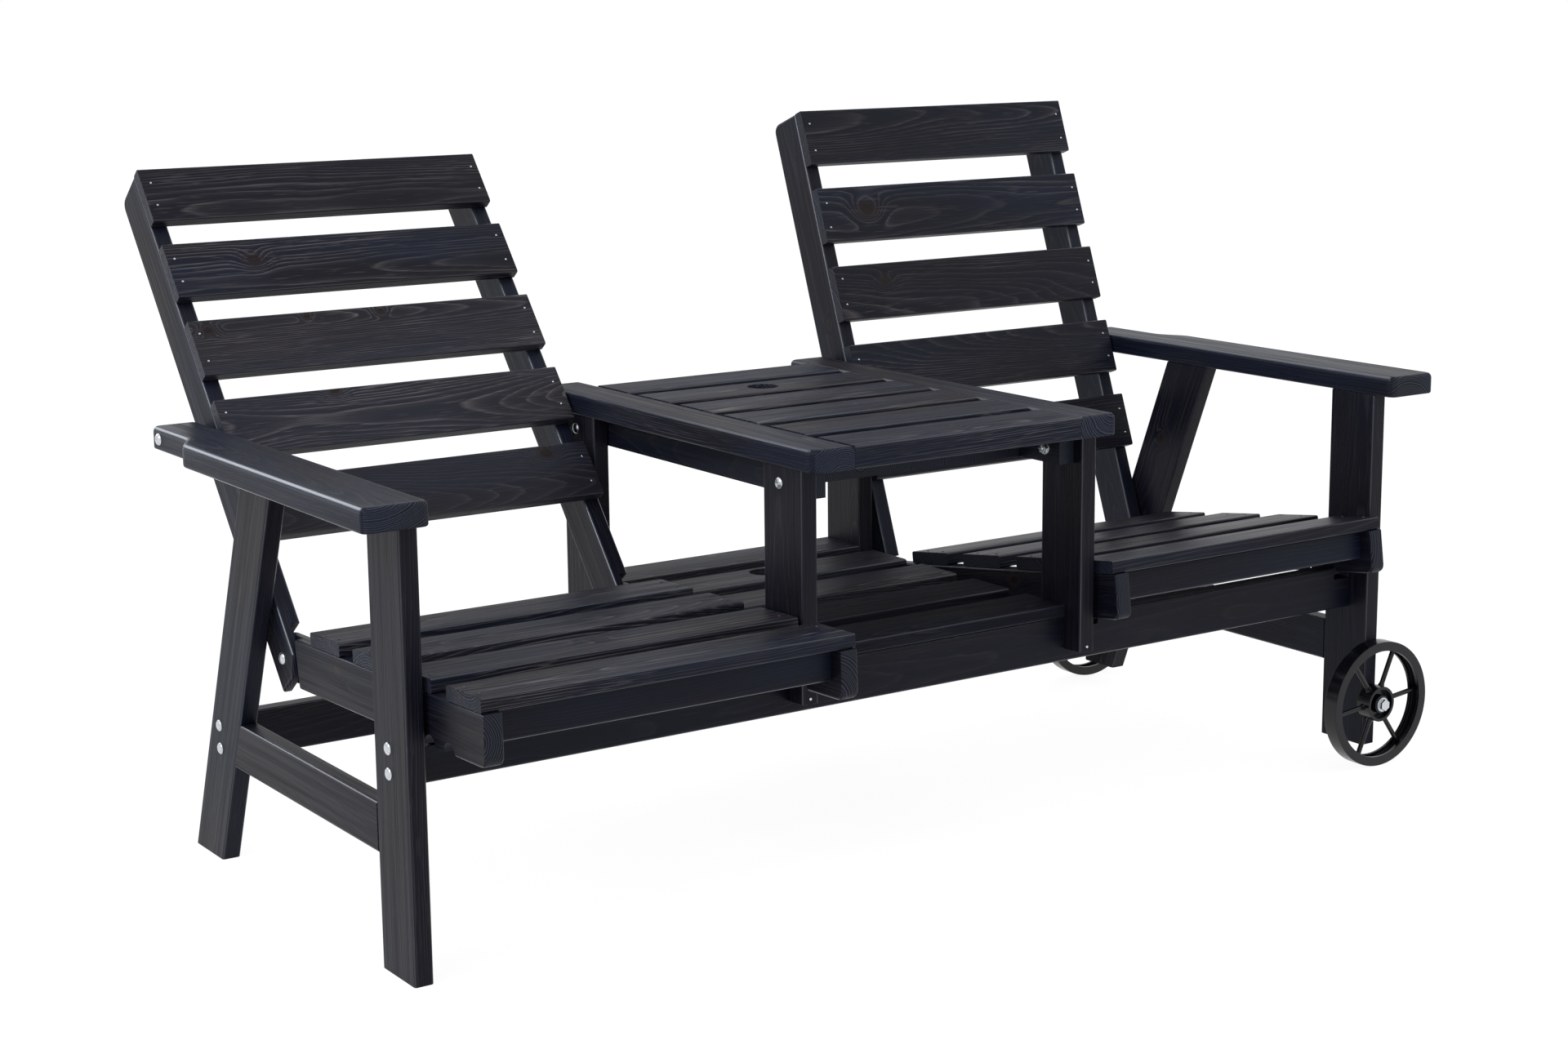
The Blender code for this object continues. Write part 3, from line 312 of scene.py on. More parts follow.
heart, halo = 0.0, 0.0
for title in ("Knot One", "Knot Two", "Knot Three"):
    inputs = {"Place": taken["Place"], "Middle": taken[title], "Size": taken[f"{title} Size"]}
    knot = node(pine_group, "ShaderNodeGroup", inputs, node_tree=knot_group).outputs
    from_heart = pine("ADD", from_heart, knot["Push"])
    heart = pine("MAXIMUM", heart, knot["Heart"])
    halo = pine("MAXIMUM", halo, knot["Halo"])
print("three knots push the rings")

# %% [markdown]
# ## Year rings
#
# Each ring rises slowly from early to late wood and stops at once. A colour ramp holds that rise,
# where a plain wave would make both sides equally soft. Good and bad summers make wide and narrow
# rings, so a noise that depends only on the distance from the heart stretches some and squeezes
# others.

# %% Year rings
YEARS_PER_METRE = 45.0
YEARS_SHIFT = 3.0
RISE_START, RISE_MIDDLE, RISE_END = 0.35, 0.72, 0.90
MIDDLE_GREY = 0.22

years = pine("ADD", pine("MULTIPLY", from_heart, YEARS_PER_METRE), taken["Seed"])
inputs = {"W": years, "Scale": 1.0}
years = node(pine_group, "ShaderNodeTexNoise", inputs, noise_dimensions="1D").outputs["Fac"]
ring = pine("DIVIDE", from_heart, taken["Ring Width"])
ring = pine("FRACT", pine("MULTIPLY_ADD", years, YEARS_SHIFT, ring))
ramp = node(pine_group, "ShaderNodeValToRGB", {"Fac": ring})
ramp.color_ramp.elements[0].position = RISE_START
ramp.color_ramp.elements[0].color = (0, 0, 0, 1)
ramp.color_ramp.elements[1].position = RISE_END
ramp.color_ramp.elements[1].color = (1, 1, 1, 1)
ramp.color_ramp.elements.new(RISE_MIDDLE).color = (MIDDLE_GREY, MIDDLE_GREY, MIDDLE_GREY, 1)
ramp.color_ramp.elements.new(1.0).color = (0, 0, 0, 1)
late = ramp.outputs["Color"]
print("rings rise over", len(ramp.color_ramp.elements), "stops")

# %% [markdown]
# ## Fibres, streaks and patches
#
# Under the rings lie smaller things: fibres as thin as a hair, streaks where the brush ran dry,
# patches that drank more stain than others, a bluish sheen that is partly the stain and partly a
# painted reflection of the sky, short pale wisps, and chips along the edges. Each is one noise,
# stretched along the grain by its own amount. Only the chips are round.
# A noise's first two numbers say how fast it changes along and across the board. A step's two
# numbers say where it begins to show and where it shows in full.

# %% Fibres, streaks and patches
fibres = pine_noise(9.0, 900.0, 3.0, 1.3)["Fac"]
streaks = pine_noise(3.0, 160.0, 2.0, 2.7)["Fac"]
patches = pine_step(pine_noise(3.2, 17.0, 2.0, 5.9)["Fac"], 0.42, 0.68)
# Where this noise rises the blue shows: partly the stain's own tone, partly a painted reflection of the sky.
sheen = pine_step(pine_noise(2.2, 9.0, 1.0, 8.3)["Fac"], 0.35, 0.70)
wisps = pine_step(pine_noise(22.0, 420.0, 2.0, 6.7)["Fac"], 0.56, 0.72)
chips = pine_step(pine_noise(60.0, 60.0, 3.0, 4.4)["Fac"], 0.60, 0.70)
print("six noises on every board")

# %% [markdown]
# ## The colours of the stain
#
# Stain sinks into the soft early wood and turns it nearly black. The hard late wood takes less of
# it and stays a little brown, so the thin late rings are the light lines here. The colours are
# laid over each other in the order in which a painter would glaze them: black stain, a blue that is
# partly stain and partly a painted reflection of the sky, a painted light that lifts some boards,
# the soft streaks, the bare late rings, the knots, the arcs of the cut ends, and last the worn
# long edges, whose pale blue is partly wear and partly a painted highlight.

# %% Stain colours
BLACK_STAIN = (0.0046, 0.0044, 0.0088, 1)
# Partly the stain's own blue, partly a painted reflection of the sky.
BLUE_STAIN_AND_SKY_SHEEN = (0.0046, 0.0078, 0.0195, 1)
# Painted light: a lighter grey that lifts the whole face of a board.
PAINTED_LIGHT_COLOUR = (0.0310, 0.0300, 0.0380, 1)
SOFT_STREAK = (0.0175, 0.0155, 0.0180, 1)
LATE_WOOD = (0.1850, 0.1600, 0.1560, 1)
KNOT_HALO = (0.0210, 0.0098, 0.0084, 1)
KNOT_HEART = (0.0056, 0.0034, 0.0028, 1)
END_ARC = (0.0660, 0.0790, 0.1120, 1)
# Pale blue on the rounded long edges: partly wear, partly a painted highlight.
WORN_EDGE_AND_HIGHLIGHT = (0.0780, 0.0920, 0.1350, 1)
WISP_SHARE = 0.45
PATCH_SHARE = 0.65
SOFT_SHARE = 0.30
HALO_SHARE = 0.55
HEART_SHARE = 0.70
ARC_SHARE = 0.75
EDGE_SHARE = 0.40

bare = pine("MULTIPLY", late, pine_step(fibres, 0.30, 0.65))
bare = pine("MAXIMUM", bare, pine("MULTIPLY", wisps, WISP_SHARE))
bare = pine("MULTIPLY", bare, pine("MULTIPLY_ADD", patches, PATCH_SHARE, 1.0 - PATCH_SHARE))
bare = pine("MULTIPLY", bare, taken["Brown"])
soft = pine("MULTIPLY", pine_step(streaks, 0.45, 0.75), SOFT_SHARE)
arcs = pine("MULTIPLY", pine("MULTIPLY", late, taken["End"]), ARC_SHARE)
# Rounded long edges: real wear where the chips are, and a painted highlight along all of them.
worn_edge_and_highlight = pine("MULTIPLY", taken["Edge"], pine("MULTIPLY_ADD", chips, EDGE_SHARE, EDGE_SHARE))

colour = BLACK_STAIN
for share, over in (
    (pine("MULTIPLY", sheen, taken["Blue"]), BLUE_STAIN_AND_SKY_SHEEN),
    (taken["Painted Light"], PAINTED_LIGHT_COLOUR),
    (soft, SOFT_STREAK),
    (bare, LATE_WOOD),
    (pine("MULTIPLY", halo, HALO_SHARE), KNOT_HALO),
    (pine("MULTIPLY", heart, HEART_SHARE), KNOT_HEART),
    (arcs, END_ARC),
    (pine("MULTIPLY", worn_edge_and_highlight, taken["Wear And Highlight"]), WORN_EDGE_AND_HIGHLIGHT),
):
    colour = blend_colours(pine_group, share, colour, over)
plug(pine_group, given["Color"], colour)
print("stain colours ready")

# %% [markdown]
# ## How the stained wood shines
#
# The stain is satin. Fibres and streaks make it rougher, knots and rubbed edges smoother. The
# rounded long edges are worn and shine more than the faces, so a second layer lies there: the
# coat. It gives the long pale lines that the photograph shows along the armrests and stiles. The
# whole board could take the coat, but then its faces would turn pale too. Fibres, late rings and
# knots stand up a little, for the bump.

# %% Roughness, coat and height
ROUGH = 0.24
ROUGH_FIBRES = 0.26
ROUGH_STREAKS = 0.14
ROUGH_HEART = -0.06
ROUGH_EDGE = -0.08
HIGH_FIBRES = 0.55
HIGH_LATE = 0.45
HIGH_HEART = 0.5

rough = pine("MULTIPLY_ADD", fibres, ROUGH_FIBRES, ROUGH)
rough = pine("MULTIPLY_ADD", pine_step(streaks, 0.35, 0.70), ROUGH_STREAKS, rough)
rough = pine("MULTIPLY_ADD", heart, ROUGH_HEART, pine("ADD", rough, taken["Dull"]))
rough = pine("MULTIPLY_ADD", taken["Edge"], ROUGH_EDGE, rough)
height = pine("MULTIPLY_ADD", fibres, HIGH_FIBRES, pine("MULTIPLY", late, HIGH_LATE))
height = pine("MULTIPLY_ADD", heart, HIGH_HEART, height)
plug(pine_group, given["Roughness"], rough)
plug(pine_group, given["Coat"], pine("MULTIPLY", taken["Edge"], taken["Wear And Highlight"]))
plug(pine_group, given["Height"], height)
print("stained pine group has", len(pine_group.nodes), "nodes")

# %% [markdown]
# ## A material for every board
#
# No two boards come from the same place in a log. Each board gets its own small material that
# holds one copy of the pine group. A Mapping node of the Texture kind lays the pattern on the
# board: its location is the board's middle and its rotation is the board's own three directions,
# so the fibres run along the board even where the board leans.
#
# A generator seeded with the board's name picks the ring width, the place of the log's heart and
# the rest. The same name gives the same board each time. Boards that the photograph shows well
# have some of these values given one by one instead.
#
# Everything round the bench is white, and a nearly black board that mirrors it at full strength
# looks grey. SATIN, its Specular IOR Level, is a quarter of the usual 0.5, so it mirrors less.

# %% Pine material
SATIN = 0.125
COAT_ROUGH = 0.30
COAT_IOR = 1.75
GRAIN_HIGH = 0.0004
GRAIN_STRENGTH = 0.60


def new_material(name):
    """A material with nodes, with its tree and its main shader."""
    made = bpy.data.materials.new(name)
    made.use_nodes = True
    return made, made.node_tree, made.node_tree.nodes["Principled BSDF"]


def pine_material(name, middle, turn, look):
    """Black-stained pine for one board, laid along the board's own directions."""
    chance = Random(name)
    values = {
        "Seed": chance.uniform(0, 50),
        "Heart Across": chance.uniform(-0.05, 0.05),
        "Heart Behind": chance.choice((-1, 1)) * chance.uniform(0.03, 0.09),
        "Lean": chance.uniform(-0.045, 0.045),
        "Ring Width": chance.uniform(0.0024, 0.0040),
        "Brown": chance.uniform(0.08, 0.28),
        "Blue": chance.uniform(0.2, 0.8),
        "Knot One": (chance.uniform(-0.2, 0.2), chance.uniform(-0.03, 0.03), 0.0),
        "Knot One Size": chance.choice((0.0, 0.0, 0.005, 0.007)),
    }
    values.update(look)
    made, tree, shader = new_material(f"pine_{name}")
    place = node(tree, "ShaderNodeTexCoord").outputs["Object"]
    inputs = {"Vector": place, "Location": middle, "Rotation": turn.to_euler("XYZ")}
    laid = node(tree, "ShaderNodeMapping", inputs, vector_type="TEXTURE")
    values["Place"] = laid.outputs["Vector"]
    for title in ("Edge", "End"):
        values[title] = node(tree, "ShaderNodeAttribute", attribute_name=title.lower()).outputs["Fac"]
    board = node(tree, "ShaderNodeGroup", values, node_tree=pine_group).outputs
    inputs = {"Height": board["Height"], "Distance": GRAIN_HIGH, "Strength": GRAIN_STRENGTH}
    bump = node(tree, "ShaderNodeBump", inputs)
    plug(tree, shader.inputs["Base Color"], board["Color"])
    plug(tree, shader.inputs["Roughness"], board["Roughness"])
    plug(tree, shader.inputs["Coat Weight"], board["Coat"])
    plug(tree, shader.inputs["Normal"], bump.outputs["Normal"])
    shader.inputs["Specular IOR Level"].default_value = SATIN
    shader.inputs["Coat Roughness"].default_value = COAT_ROUGH
    shader.inputs["Coat IOR"].default_value = COAT_IOR
    return made


print("pine material ready")

# %% [markdown]
# ## Clean copies and a board's own directions
#
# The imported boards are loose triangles. A copy of each one is merged, and its flat triangles are
# dissolved into whole faces, so that a bevel can run along a whole edge. The board could be built
# again from its sizes, but a copy keeps every lap, notch and angled cut for nothing.
#
# The grain follows the board's longest edge, and the board's face is its biggest flat side. Each
# direction is turned towards one fixed side, so that two equal boards get equal directions.

# %% Clean copies and directions
MERGE = 0.00001
FLAT_UP_TO = radians(0.3)
LONG_SIDE_TURN = 0.1
ALONG_SIDE = Vector((1.0, 0.7, 1.3))
FACE_SIDE = Vector((-0.5, -1.0, 0.9))


def clean_copy(name):
    """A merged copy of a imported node's mesh, in a bmesh with whole flat faces."""
    shape = bmesh.new()
    shape.from_mesh(nodes[name].data)
    for layer in (shape.loops.layers.uv, shape.loops.layers.float_vector):
        for found in list(layer.values()):
            layer.remove(found)
    bmesh.ops.remove_doubles(shape, verts=shape.verts, dist=MERGE)
    bmesh.ops.dissolve_limit(shape, angle_limit=FLAT_UP_TO, verts=shape.verts, edges=shape.edges)
    return shape


def board_directions(shape):
    """Middle of a board, its directions along, across and out of its face, and its size in them."""
    longest = max(shape.edges, key=lambda edge: edge.calc_length())
    along = (longest.verts[1].co - longest.verts[0].co).normalized()
    if along.dot(ALONG_SIDE) < 0:
        along.negate()
    flats = [face for face in shape.faces if abs(face.normal.dot(along)) < LONG_SIDE_TURN]
    out = max(flats, key=lambda face: face.calc_area()).normal.copy()
    if out.dot(FACE_SIDE) < 0:
        out.negate()
    out = (out - along * out.dot(along)).normalized()
    turn = Matrix((along, out.cross(along), out)).transposed()
    own = [turn.transposed() @ vertex.co for vertex in shape.verts]
    low = Vector([min(place[axis] for place in own) for axis in range(3)])
    high = Vector([max(place[axis] for place in own) for axis in range(3)])
    return turn @ ((low + high) / 2), turn, high - low


print("directions ready")

# %% [markdown]
# ## Softened edges, marked faces and finished pieces
#
# A saw leaves no perfect corner, and even a bevel under a millimetre catches the light along
# every cut end. Faces that turn between two of a board's directions are its rounded long edges,
# and faces that look along the grain are its cut ends. Both are stored on the mesh, where the
# material reads them. The Pointiness of the Geometry node could find the edges too, but only one
# of Blender's renderers knows it, and a stored mask goes everywhere.

# %% Finish a piece
ARRIS = 0.0008
SMOOTH_UP_TO = radians(50)
ROUND_TURN = 0.25
LONG_EDGE_TURN = 0.3
END_TURN = 0.6


def bevel(shape, edges, width):
    """Round edges off with two narrow faces each."""
    bmesh.ops.bevel(
        shape, geom=edges, offset=width, segments=2, profile=0.5,
        affect="EDGES", material=-1, clamp_overlap=True,
    )


def soften_cut_edges(shape, arris=ARRIS):
    """Bevel every edge that is still sharp."""
    sharp = [edge for edge in shape.edges if edge.is_manifold and edge.calc_face_angle() > SMOOTH_UP_TO]
    bevel(shape, sharp, arris)


def mark_faces(shape, turns):
    """Store on each face whether it rounds a long edge, and whether it is a cut end."""
    edge = shape.faces.layers.float.new("edge")
    end = shape.faces.layers.float.new("end")
    for face in shape.faces:
        turned = [abs(face.normal.dot(turns[face.material_index].col[axis])) for axis in range(3)]
        rounding = max(0.0, min(1.0, (1.0 - max(turned)) / ROUND_TURN))
        face[edge] = rounding if turned[0] < LONG_EDGE_TURN else 0.0
        face[end] = float(turned[0] > END_TURN)


def finish_piece(name, shape, stands_for, body, slot_name, materials):
    """Turn a bmesh into a piece of the bench with smooth rounds and crisp edges."""
    mesh = bpy.data.meshes.new(name)
    shape.to_mesh(mesh)
    shape.free()
    for extra in ("custom_normal", "sharp_face"):
        if extra in mesh.attributes:
            mesh.attributes.remove(mesh.attributes[extra])
    for material in materials:
        mesh.materials.append(material)
    mesh.shade_smooth()
    mesh.set_sharp_from_angle(angle=SMOOTH_UP_TO)
    made = add_object(name, mesh)
    weigh = made.modifiers.new("flat faces stay flat", "WEIGHTED_NORMAL")
    weigh.keep_sharp = True
    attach(made, body)
    if stands_for:
        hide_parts(*stands_for)
    return made


print("finish ready")

# %% [markdown]
# ## Looks given one by one
#
# The five slats of each back face the camera, and in the photograph each one is different: some
# plain and straight, some with a knot, some with arches. The two numbers of a knot are its place
# along the slat and across it, from the middle. The armrests and the table top look up at the sky
# and take its blue. The two front slats of the shelf lie deep in the shade and look dull, and less
# light grain paints that shade on them; the three behind them take more light grain, a painted light.

# %% Board looks
BOARD_LOOKS = {
    "left_back_slat_1": {
        "Lean": 0.004, "Heart Behind": -0.09, "Brown": 0.6, "Blue": 0.2, "Knot One Size": 0.0,
    },
    "left_back_slat_2": {
        "Lean": 0.015, "Brown": 0.9, "Blue": 1.6, "Knot One": (-0.150, 0.010, 0), "Knot One Size": 0.0085,
    # Back slats 3 to 5 are lifted with painted light.
    },
    "left_back_slat_3": {
        "Brown": 1.2, "Blue": 1.4, "Painted Light": 0.34,
        "Knot One": (-0.258, 0.029, 0), "Knot One Size": 0.006,
        "Knot Two": (-0.097, 0.038, 0), "Knot Two Size": 0.004,
        "Knot Three": (0.025, 0.038, 0), "Knot Three Size": 0.005,
    },
    "left_back_slat_4": {
        "Lean": -0.030, "Bow": -0.15, "Heart Behind": 0.050, "Heart Across": 0.008, "Ring Width": 0.0032,
        "Brown": 1.0, "Blue": 1.6, "Painted Light": 0.46, "Knot One": (-0.094, 0.045, 0), "Knot One Size": 0.007,
    },
    "left_back_slat_5": {
        "Ring Width": 0.0024, "Brown": 0.45, "Blue": 2.0, "Painted Light": 0.36,
        "Knot One": (0.212, 0.034, 0), "Knot One Size": 0.008,
    },
    "right_back_slat_1": {"Lean": 0.02, "Brown": 0.5, "Knot One Size": 0.0},
    "right_back_slat_2": {"Brown": 0.45, "Blue": 1.2, "Knot One": (-0.19, 0.005, 0), "Knot One Size": 0.011},
    "right_back_slat_3": {"Lean": 0.035, "Brown": 0.5},
    "right_back_slat_4": {"Lean": -0.040, "Brown": 0.5},
    "front_rail": {"Lean": 0.006, "Brown": 0.08, "Blue": 0.5, "Knot One Size": 0.0},
    "leg_rear_right": {"Knot One": (0.16, 0.004, 0), "Knot One Size": 0.006},
}
for name in ("post_front_left", "post_front_right", "leg_front_right"):
    BOARD_LOOKS[name] = {"Lean": 0.010, "Brown": 0.15, "Knot One Size": 0.0}
for name in ("left_seat_apron", "right_seat_apron"):
    BOARD_LOOKS[name] = {"Lean": 0.006, "Brown": 0.08, "Blue": 1.0, "Knot One Size": 0.0}
for side in ("left", "right"):
    # Armrests, planks, stretchers and stiles carry a stronger painted highlight on their edges.
    BOARD_LOOKS[f"armrest_{side}"] = {"Blue": 2.0, "Wear And Highlight": 0.9}
    BOARD_LOOKS[f"table_plank_{side}"] = {"Brown": 0.5, "Blue": 2.2, "Dull": 0.14, "Wear And Highlight": 0.5}
    BOARD_LOOKS[f"stretcher_{side}"] = {"Wear And Highlight": 0.8}
    for end in ("left", "right"):
        BOARD_LOOKS[f"{side}_back_stile_{end}"] = {"Brown": 0.2, "Blue": 1.0, "Dull": 0.04, "Wear And Highlight": 1.0}
for index in range(1, 5):
    BOARD_LOOKS[f"left_seat_slat_{index}"] = {"Brown": 1.0, "Blue": 2.0, "Dull": 0.08}
    BOARD_LOOKS[f"right_seat_slat_{index}"] = {"Brown": 0.35, "Blue": 0.8}
BOARD_LOOKS["left_seat_slat_3"] = {
    "Lean": 0.004, "Bow": 0.25, "Heart Behind": 0.045, "Heart Across": 0.0, "Ring Width": 0.0034,
    "Brown": 1.0, "Blue": 1.0, "Dull": 0.08,
}
for index in range(1, 7):
    BOARD_LOOKS[f"table_deck_slat_{index}"] = {"Brown": 0.9, "Blue": 2.4, "Dull": 0.18}
# The front two shelf slats: less light grain, painted shade.
for index in range(1, 3):
    BOARD_LOOKS[f"shelf_deck_slat_{index}"] = {"Brown": 0.2, "Blue": 0.9, "Dull": 0.42}
# The rear three shelf slats: more light grain, painted light.
for index in range(3, 6):
    BOARD_LOOKS[f"shelf_deck_slat_{index}"] = {"Brown": 0.8, "Blue": 0.9, "Dull": 0.12}
BOARD_LOOKS["table_parasol_slat"] = BOARD_LOOKS["table_deck_slat_3"]
BOARD_LOOKS["shelf_parasol_slat"] = BOARD_LOOKS["shelf_deck_slat_3"]
print("boards with looks set by hand:", len(BOARD_LOOKS))

# %% [markdown]
# ## Every plain board
#
# Legs, rails, posts, armrests, planks, stiles, side boards and slats are one board each. Each could
# be dressed by hand, but one function does it for all: it copies, softens and marks the board, and
# gives it its own pine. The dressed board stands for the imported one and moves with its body.

# %% Dress every plain board
FUSED = ("table_deck", "shelf_deck")
METAL = ("wheel_front", "wheel_rear", "axle_bolt_front", "axle_bolt_rear")
boards = {}


def dress_board(name):
    """Replace an imported board by a merged, bevelled copy in its own pine."""
    shape = clean_copy(name)
    middle, turn, size = board_directions(shape)
    soften_cut_edges(shape)
    mark_faces(shape, [turn])
    material = pine_material(name, middle, turn, BOARD_LOOKS.get(name, {}))
    boards[name] = (middle, turn, size)
    body = nodes[name]["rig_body"]
    return finish_piece(f"{name}.dressed", shape, [name], body, slots.get(name, "frame_wood"), [material])


for name in sorted(nodes):
    if name in FUSED or name in METAL or "_bolt_" in name:
        continue
    dress_board(name)
print("dressed boards:", len(boards))

# %% [markdown]
# ## Decks made of several boards
#
# The table's slats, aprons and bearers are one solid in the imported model, because they never move
# against each other. On the real table they are separate boards, so each one needs its own grain.
# The copy could be cut into boards, but its joints are already closed, so it stays in one mesh,
# and every face takes the material of the board that it belongs to. The arris is narrower here,
# because the slats meet the planks in a tight joint, where a wide one would show as a line.

# %% Table and shelf decks
JOINT_ARRIS = 0.0004
LAID_FLAT = Matrix.Identity(3)
ALONG_Y = Matrix(((0, 1, 0), (0, 0, 1), (1, 0, 0))).transposed()
SLAT_WIDE = 0.095
TABLE_SLATS = 6
TABLE_PITCH = 0.1226
TABLE_THICK = 0.034
SHELF_SLATS = 5
SHELF_PITCH = 0.134
SHELF_THICK = 0.020


def deck_plan(name, slats, pitch, thick, under):
    """The boards of a deck, each with its box and its turn: slats from the front, then those below."""
    low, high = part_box(name)
    plan = []
    for index in range(slats):
        front = low.y + index * pitch
        slat_low = Vector((low.x, front, high.z - thick))
        slat_high = Vector((high.x, front + SLAT_WIDE, high.z))
        plan.append((f"slat_{index + 1}", slat_low, slat_high, LAID_FLAT))
    for side, start, end in (("left", low.x, 0.0), ("right", 0.0, high.x)):
        board_low = Vector((start, low.y, low.z))
        board_high = Vector((end, high.y, high.z))
        plan.append((f"{under}_{side}", board_low, board_high, ALONG_Y))
    return plan


def inside(place, low, high):
    """Whether a place lies in a box, or within an arris of it."""
    return all(low[axis] - ARRIS <= place[axis] <= high[axis] + ARRIS for axis in range(3))


def dress_deck(name, plan):
    """Replace a fused deck by a bevelled copy in which each board has its own pine."""
    shape = clean_copy(name)
    soften_cut_edges(shape, JOINT_ARRIS)
    materials = []
    for title, low, high, turn in plan:
        look = BOARD_LOOKS.get(f"{name}_{title}", {})
        materials.append(pine_material(f"{name}_{title}", (low + high) / 2, turn, look))
    for face in shape.faces:
        centre = face.calc_center_median()
        holds = [index for index, (title, low, high, turn) in enumerate(plan) if inside(centre, low, high)]
        face.material_index = holds[0] if holds else len(plan) - 1
    mark_faces(shape, [turn for title, low, high, turn in plan])
    finish_piece(f"{name}.dressed", shape, [name], "frame", slots.get(name, "frame_wood"), materials)
    print(name, "boards:", len(plan))


dress_deck("table_deck", deck_plan("table_deck", TABLE_SLATS, TABLE_PITCH, TABLE_THICK, "apron"))
dress_deck("shelf_deck", deck_plan("shelf_deck", SHELF_SLATS, SHELF_PITCH, SHELF_THICK, "bearer"))

# %% [markdown]
# ## Zinc and black enamel
#
# The bolts, washers and nails are plated with bright zinc. Plating is never even: it has small
# dull spots, and the roughness changes with them. One fine noise drives both, because two noises
# would put dull spots on bright metal. The nails of the seats are nearly black steel. The wheels
# are steel under a coat of glossy black paint, with a slight orange-peel texture.

# %% Metal materials
PITS_HIGH = 0.0001


def noise_material(name, low_colour, high_colour, rough, scale, metallic, bump_strength, shine=0.5):
    """A metal or painted finish whose colour and roughness follow one fine noise."""
    made, tree, shader = new_material(name)
    place = node(tree, "ShaderNodeTexCoord").outputs["Object"]
    inputs = {"Vector": place, "Scale": scale, "Detail": 3.0}
    spots = node(tree, "ShaderNodeTexNoise", inputs).outputs["Fac"]
    colour = blend_colours(tree, smooth_step(tree, spots, 0.35, 0.65), low_colour, high_colour)
    roughness = sums(tree, "MULTIPLY_ADD", spots, rough[1] - rough[0], rough[0])
    inputs = {"Height": spots, "Distance": PITS_HIGH, "Strength": bump_strength}
    bump = node(tree, "ShaderNodeBump", inputs)
    plug(tree, shader.inputs["Base Color"], colour)
    plug(tree, shader.inputs["Roughness"], roughness)
    plug(tree, shader.inputs["Normal"], bump.outputs["Normal"])
    shader.inputs["Metallic"].default_value = metallic
    shader.inputs["Specular IOR Level"].default_value = shine
    return made


zinc = noise_material(
    "bright_zinc", (0.42, 0.45, 0.48, 1), (0.72, 0.74, 0.76, 1),
    rough=(0.16, 0.38), scale=900.0, metallic=1.0, bump_strength=0.4,
)
enamel = noise_material(
    "black_enamel", (0.002, 0.002, 0.0035, 1), (0.0045, 0.005, 0.008, 1),
    rough=(0.16, 0.28), scale=450.0, metallic=0.0, bump_strength=0.25, shine=0.30,
)
nail_steel = noise_material(
    "nail_steel", (0.26, 0.27, 0.29, 1), (0.62, 0.64, 0.67, 1),
    rough=(0.14, 0.34), scale=1500.0, metallic=1.0, bump_strength=0.4,
)
# A nearly black steel for the nails of the seats.
darker_nail_steel = noise_material(
    "darker_nail_finish", (0.02, 0.02, 0.03, 1), (0.12, 0.13, 0.15, 1),
    rough=(0.28, 0.48), scale=1500.0, metallic=1.0, bump_strength=0.4,
)
print("metal finishes: zinc, enamel, nail steel, stained nail steel")

# %% [markdown]
# ## Round shapes from a profile
#
# Nails, bolt heads, washers, rims and hubs are all turned shapes. On a lathe, and here, they come
# from a profile that goes once round an axis. The profile is a line of (radius, height) points,
# and spin closes it into a surface. Each shape is made at the origin and then moved to its place
# inside the same bmesh, so many small ones end up in one piece.

# %% Round shapes
def lay_new(shape, before, place):
    """Move everything that was made since a step to its place."""
    bmesh.ops.transform(shape, matrix=place, verts=[vertex for vertex in shape.verts if vertex not in before])


def spun(shape, profile, steps, place):
    """Spin a profile of (radius, height) round Z and lay it with a matrix."""
    before = set(shape.verts)
    ends = [bmesh.ops.create_vert(shape, co=(radius, 0.0, height))["vert"][0] for radius, height in profile]
    line = [shape.edges.new(pair) for pair in zip(ends, ends[1:])]
    bmesh.ops.spin(
        shape, geom=ends + line, cent=(0, 0, 0), axis=(0, 0, 1), angle=2 * pi, steps=steps, use_merge=True
    )
    lay_new(shape, before, place)


def close_up(shape):
    """Merge doubled vertices and point every face outwards."""
    bmesh.ops.remove_doubles(shape, verts=shape.verts, dist=MERGE)
    bmesh.ops.recalc_face_normals(shape, faces=shape.faces)


print("turning helpers ready")

# %% [markdown]
# ## Nails
#
# Each slat of the chairs is nailed to the boards under its two ends, with two nails to an end. A
# nail head is a small disc, slightly proud and slightly domed. A row of nails on one exact line
# would look machined, so each one is astray by up to three millimetres. All heads on one body are
# one piece. On the seats the nails are darker.

# %% Nails
NAIL_ROUND = 0.0020
NAIL_PROUD = 0.0012
NAIL_STEPS = 12
NAIL_FROM_END = 0.013
NAIL_FROM_MIDDLE = 0.022
NAIL_ASTRAY = 0.003
NAIL_HEAD = [
    (0.0, NAIL_PROUD), (NAIL_ROUND * 0.7, NAIL_PROUD * 0.85),
    (NAIL_ROUND, NAIL_PROUD * 0.3), (NAIL_ROUND, -NAIL_PROUD),
]
NAIL_FINISH = {
    "left_back": nail_steel, "right_back": nail_steel,
    "left_seat": darker_nail_steel, "right_seat": darker_nail_steel,
}


def nail_places(name):
    """Where the four nails of a slat go, each with the slat's own directions."""
    middle, turn, size = boards[name]
    hand = Random(name)
    for end in (-1, 1):
        for row in (-1, 1):
            along = end * (size.x / 2 - NAIL_FROM_END) + hand.uniform(-NAIL_ASTRAY, NAIL_ASTRAY) / 2
            across = row * NAIL_FROM_MIDDLE + hand.uniform(-NAIL_ASTRAY, NAIL_ASTRAY)
            yield Matrix.Translation(middle + turn @ Vector((along, across, size.z / 2))) @ turn.to_4x4()


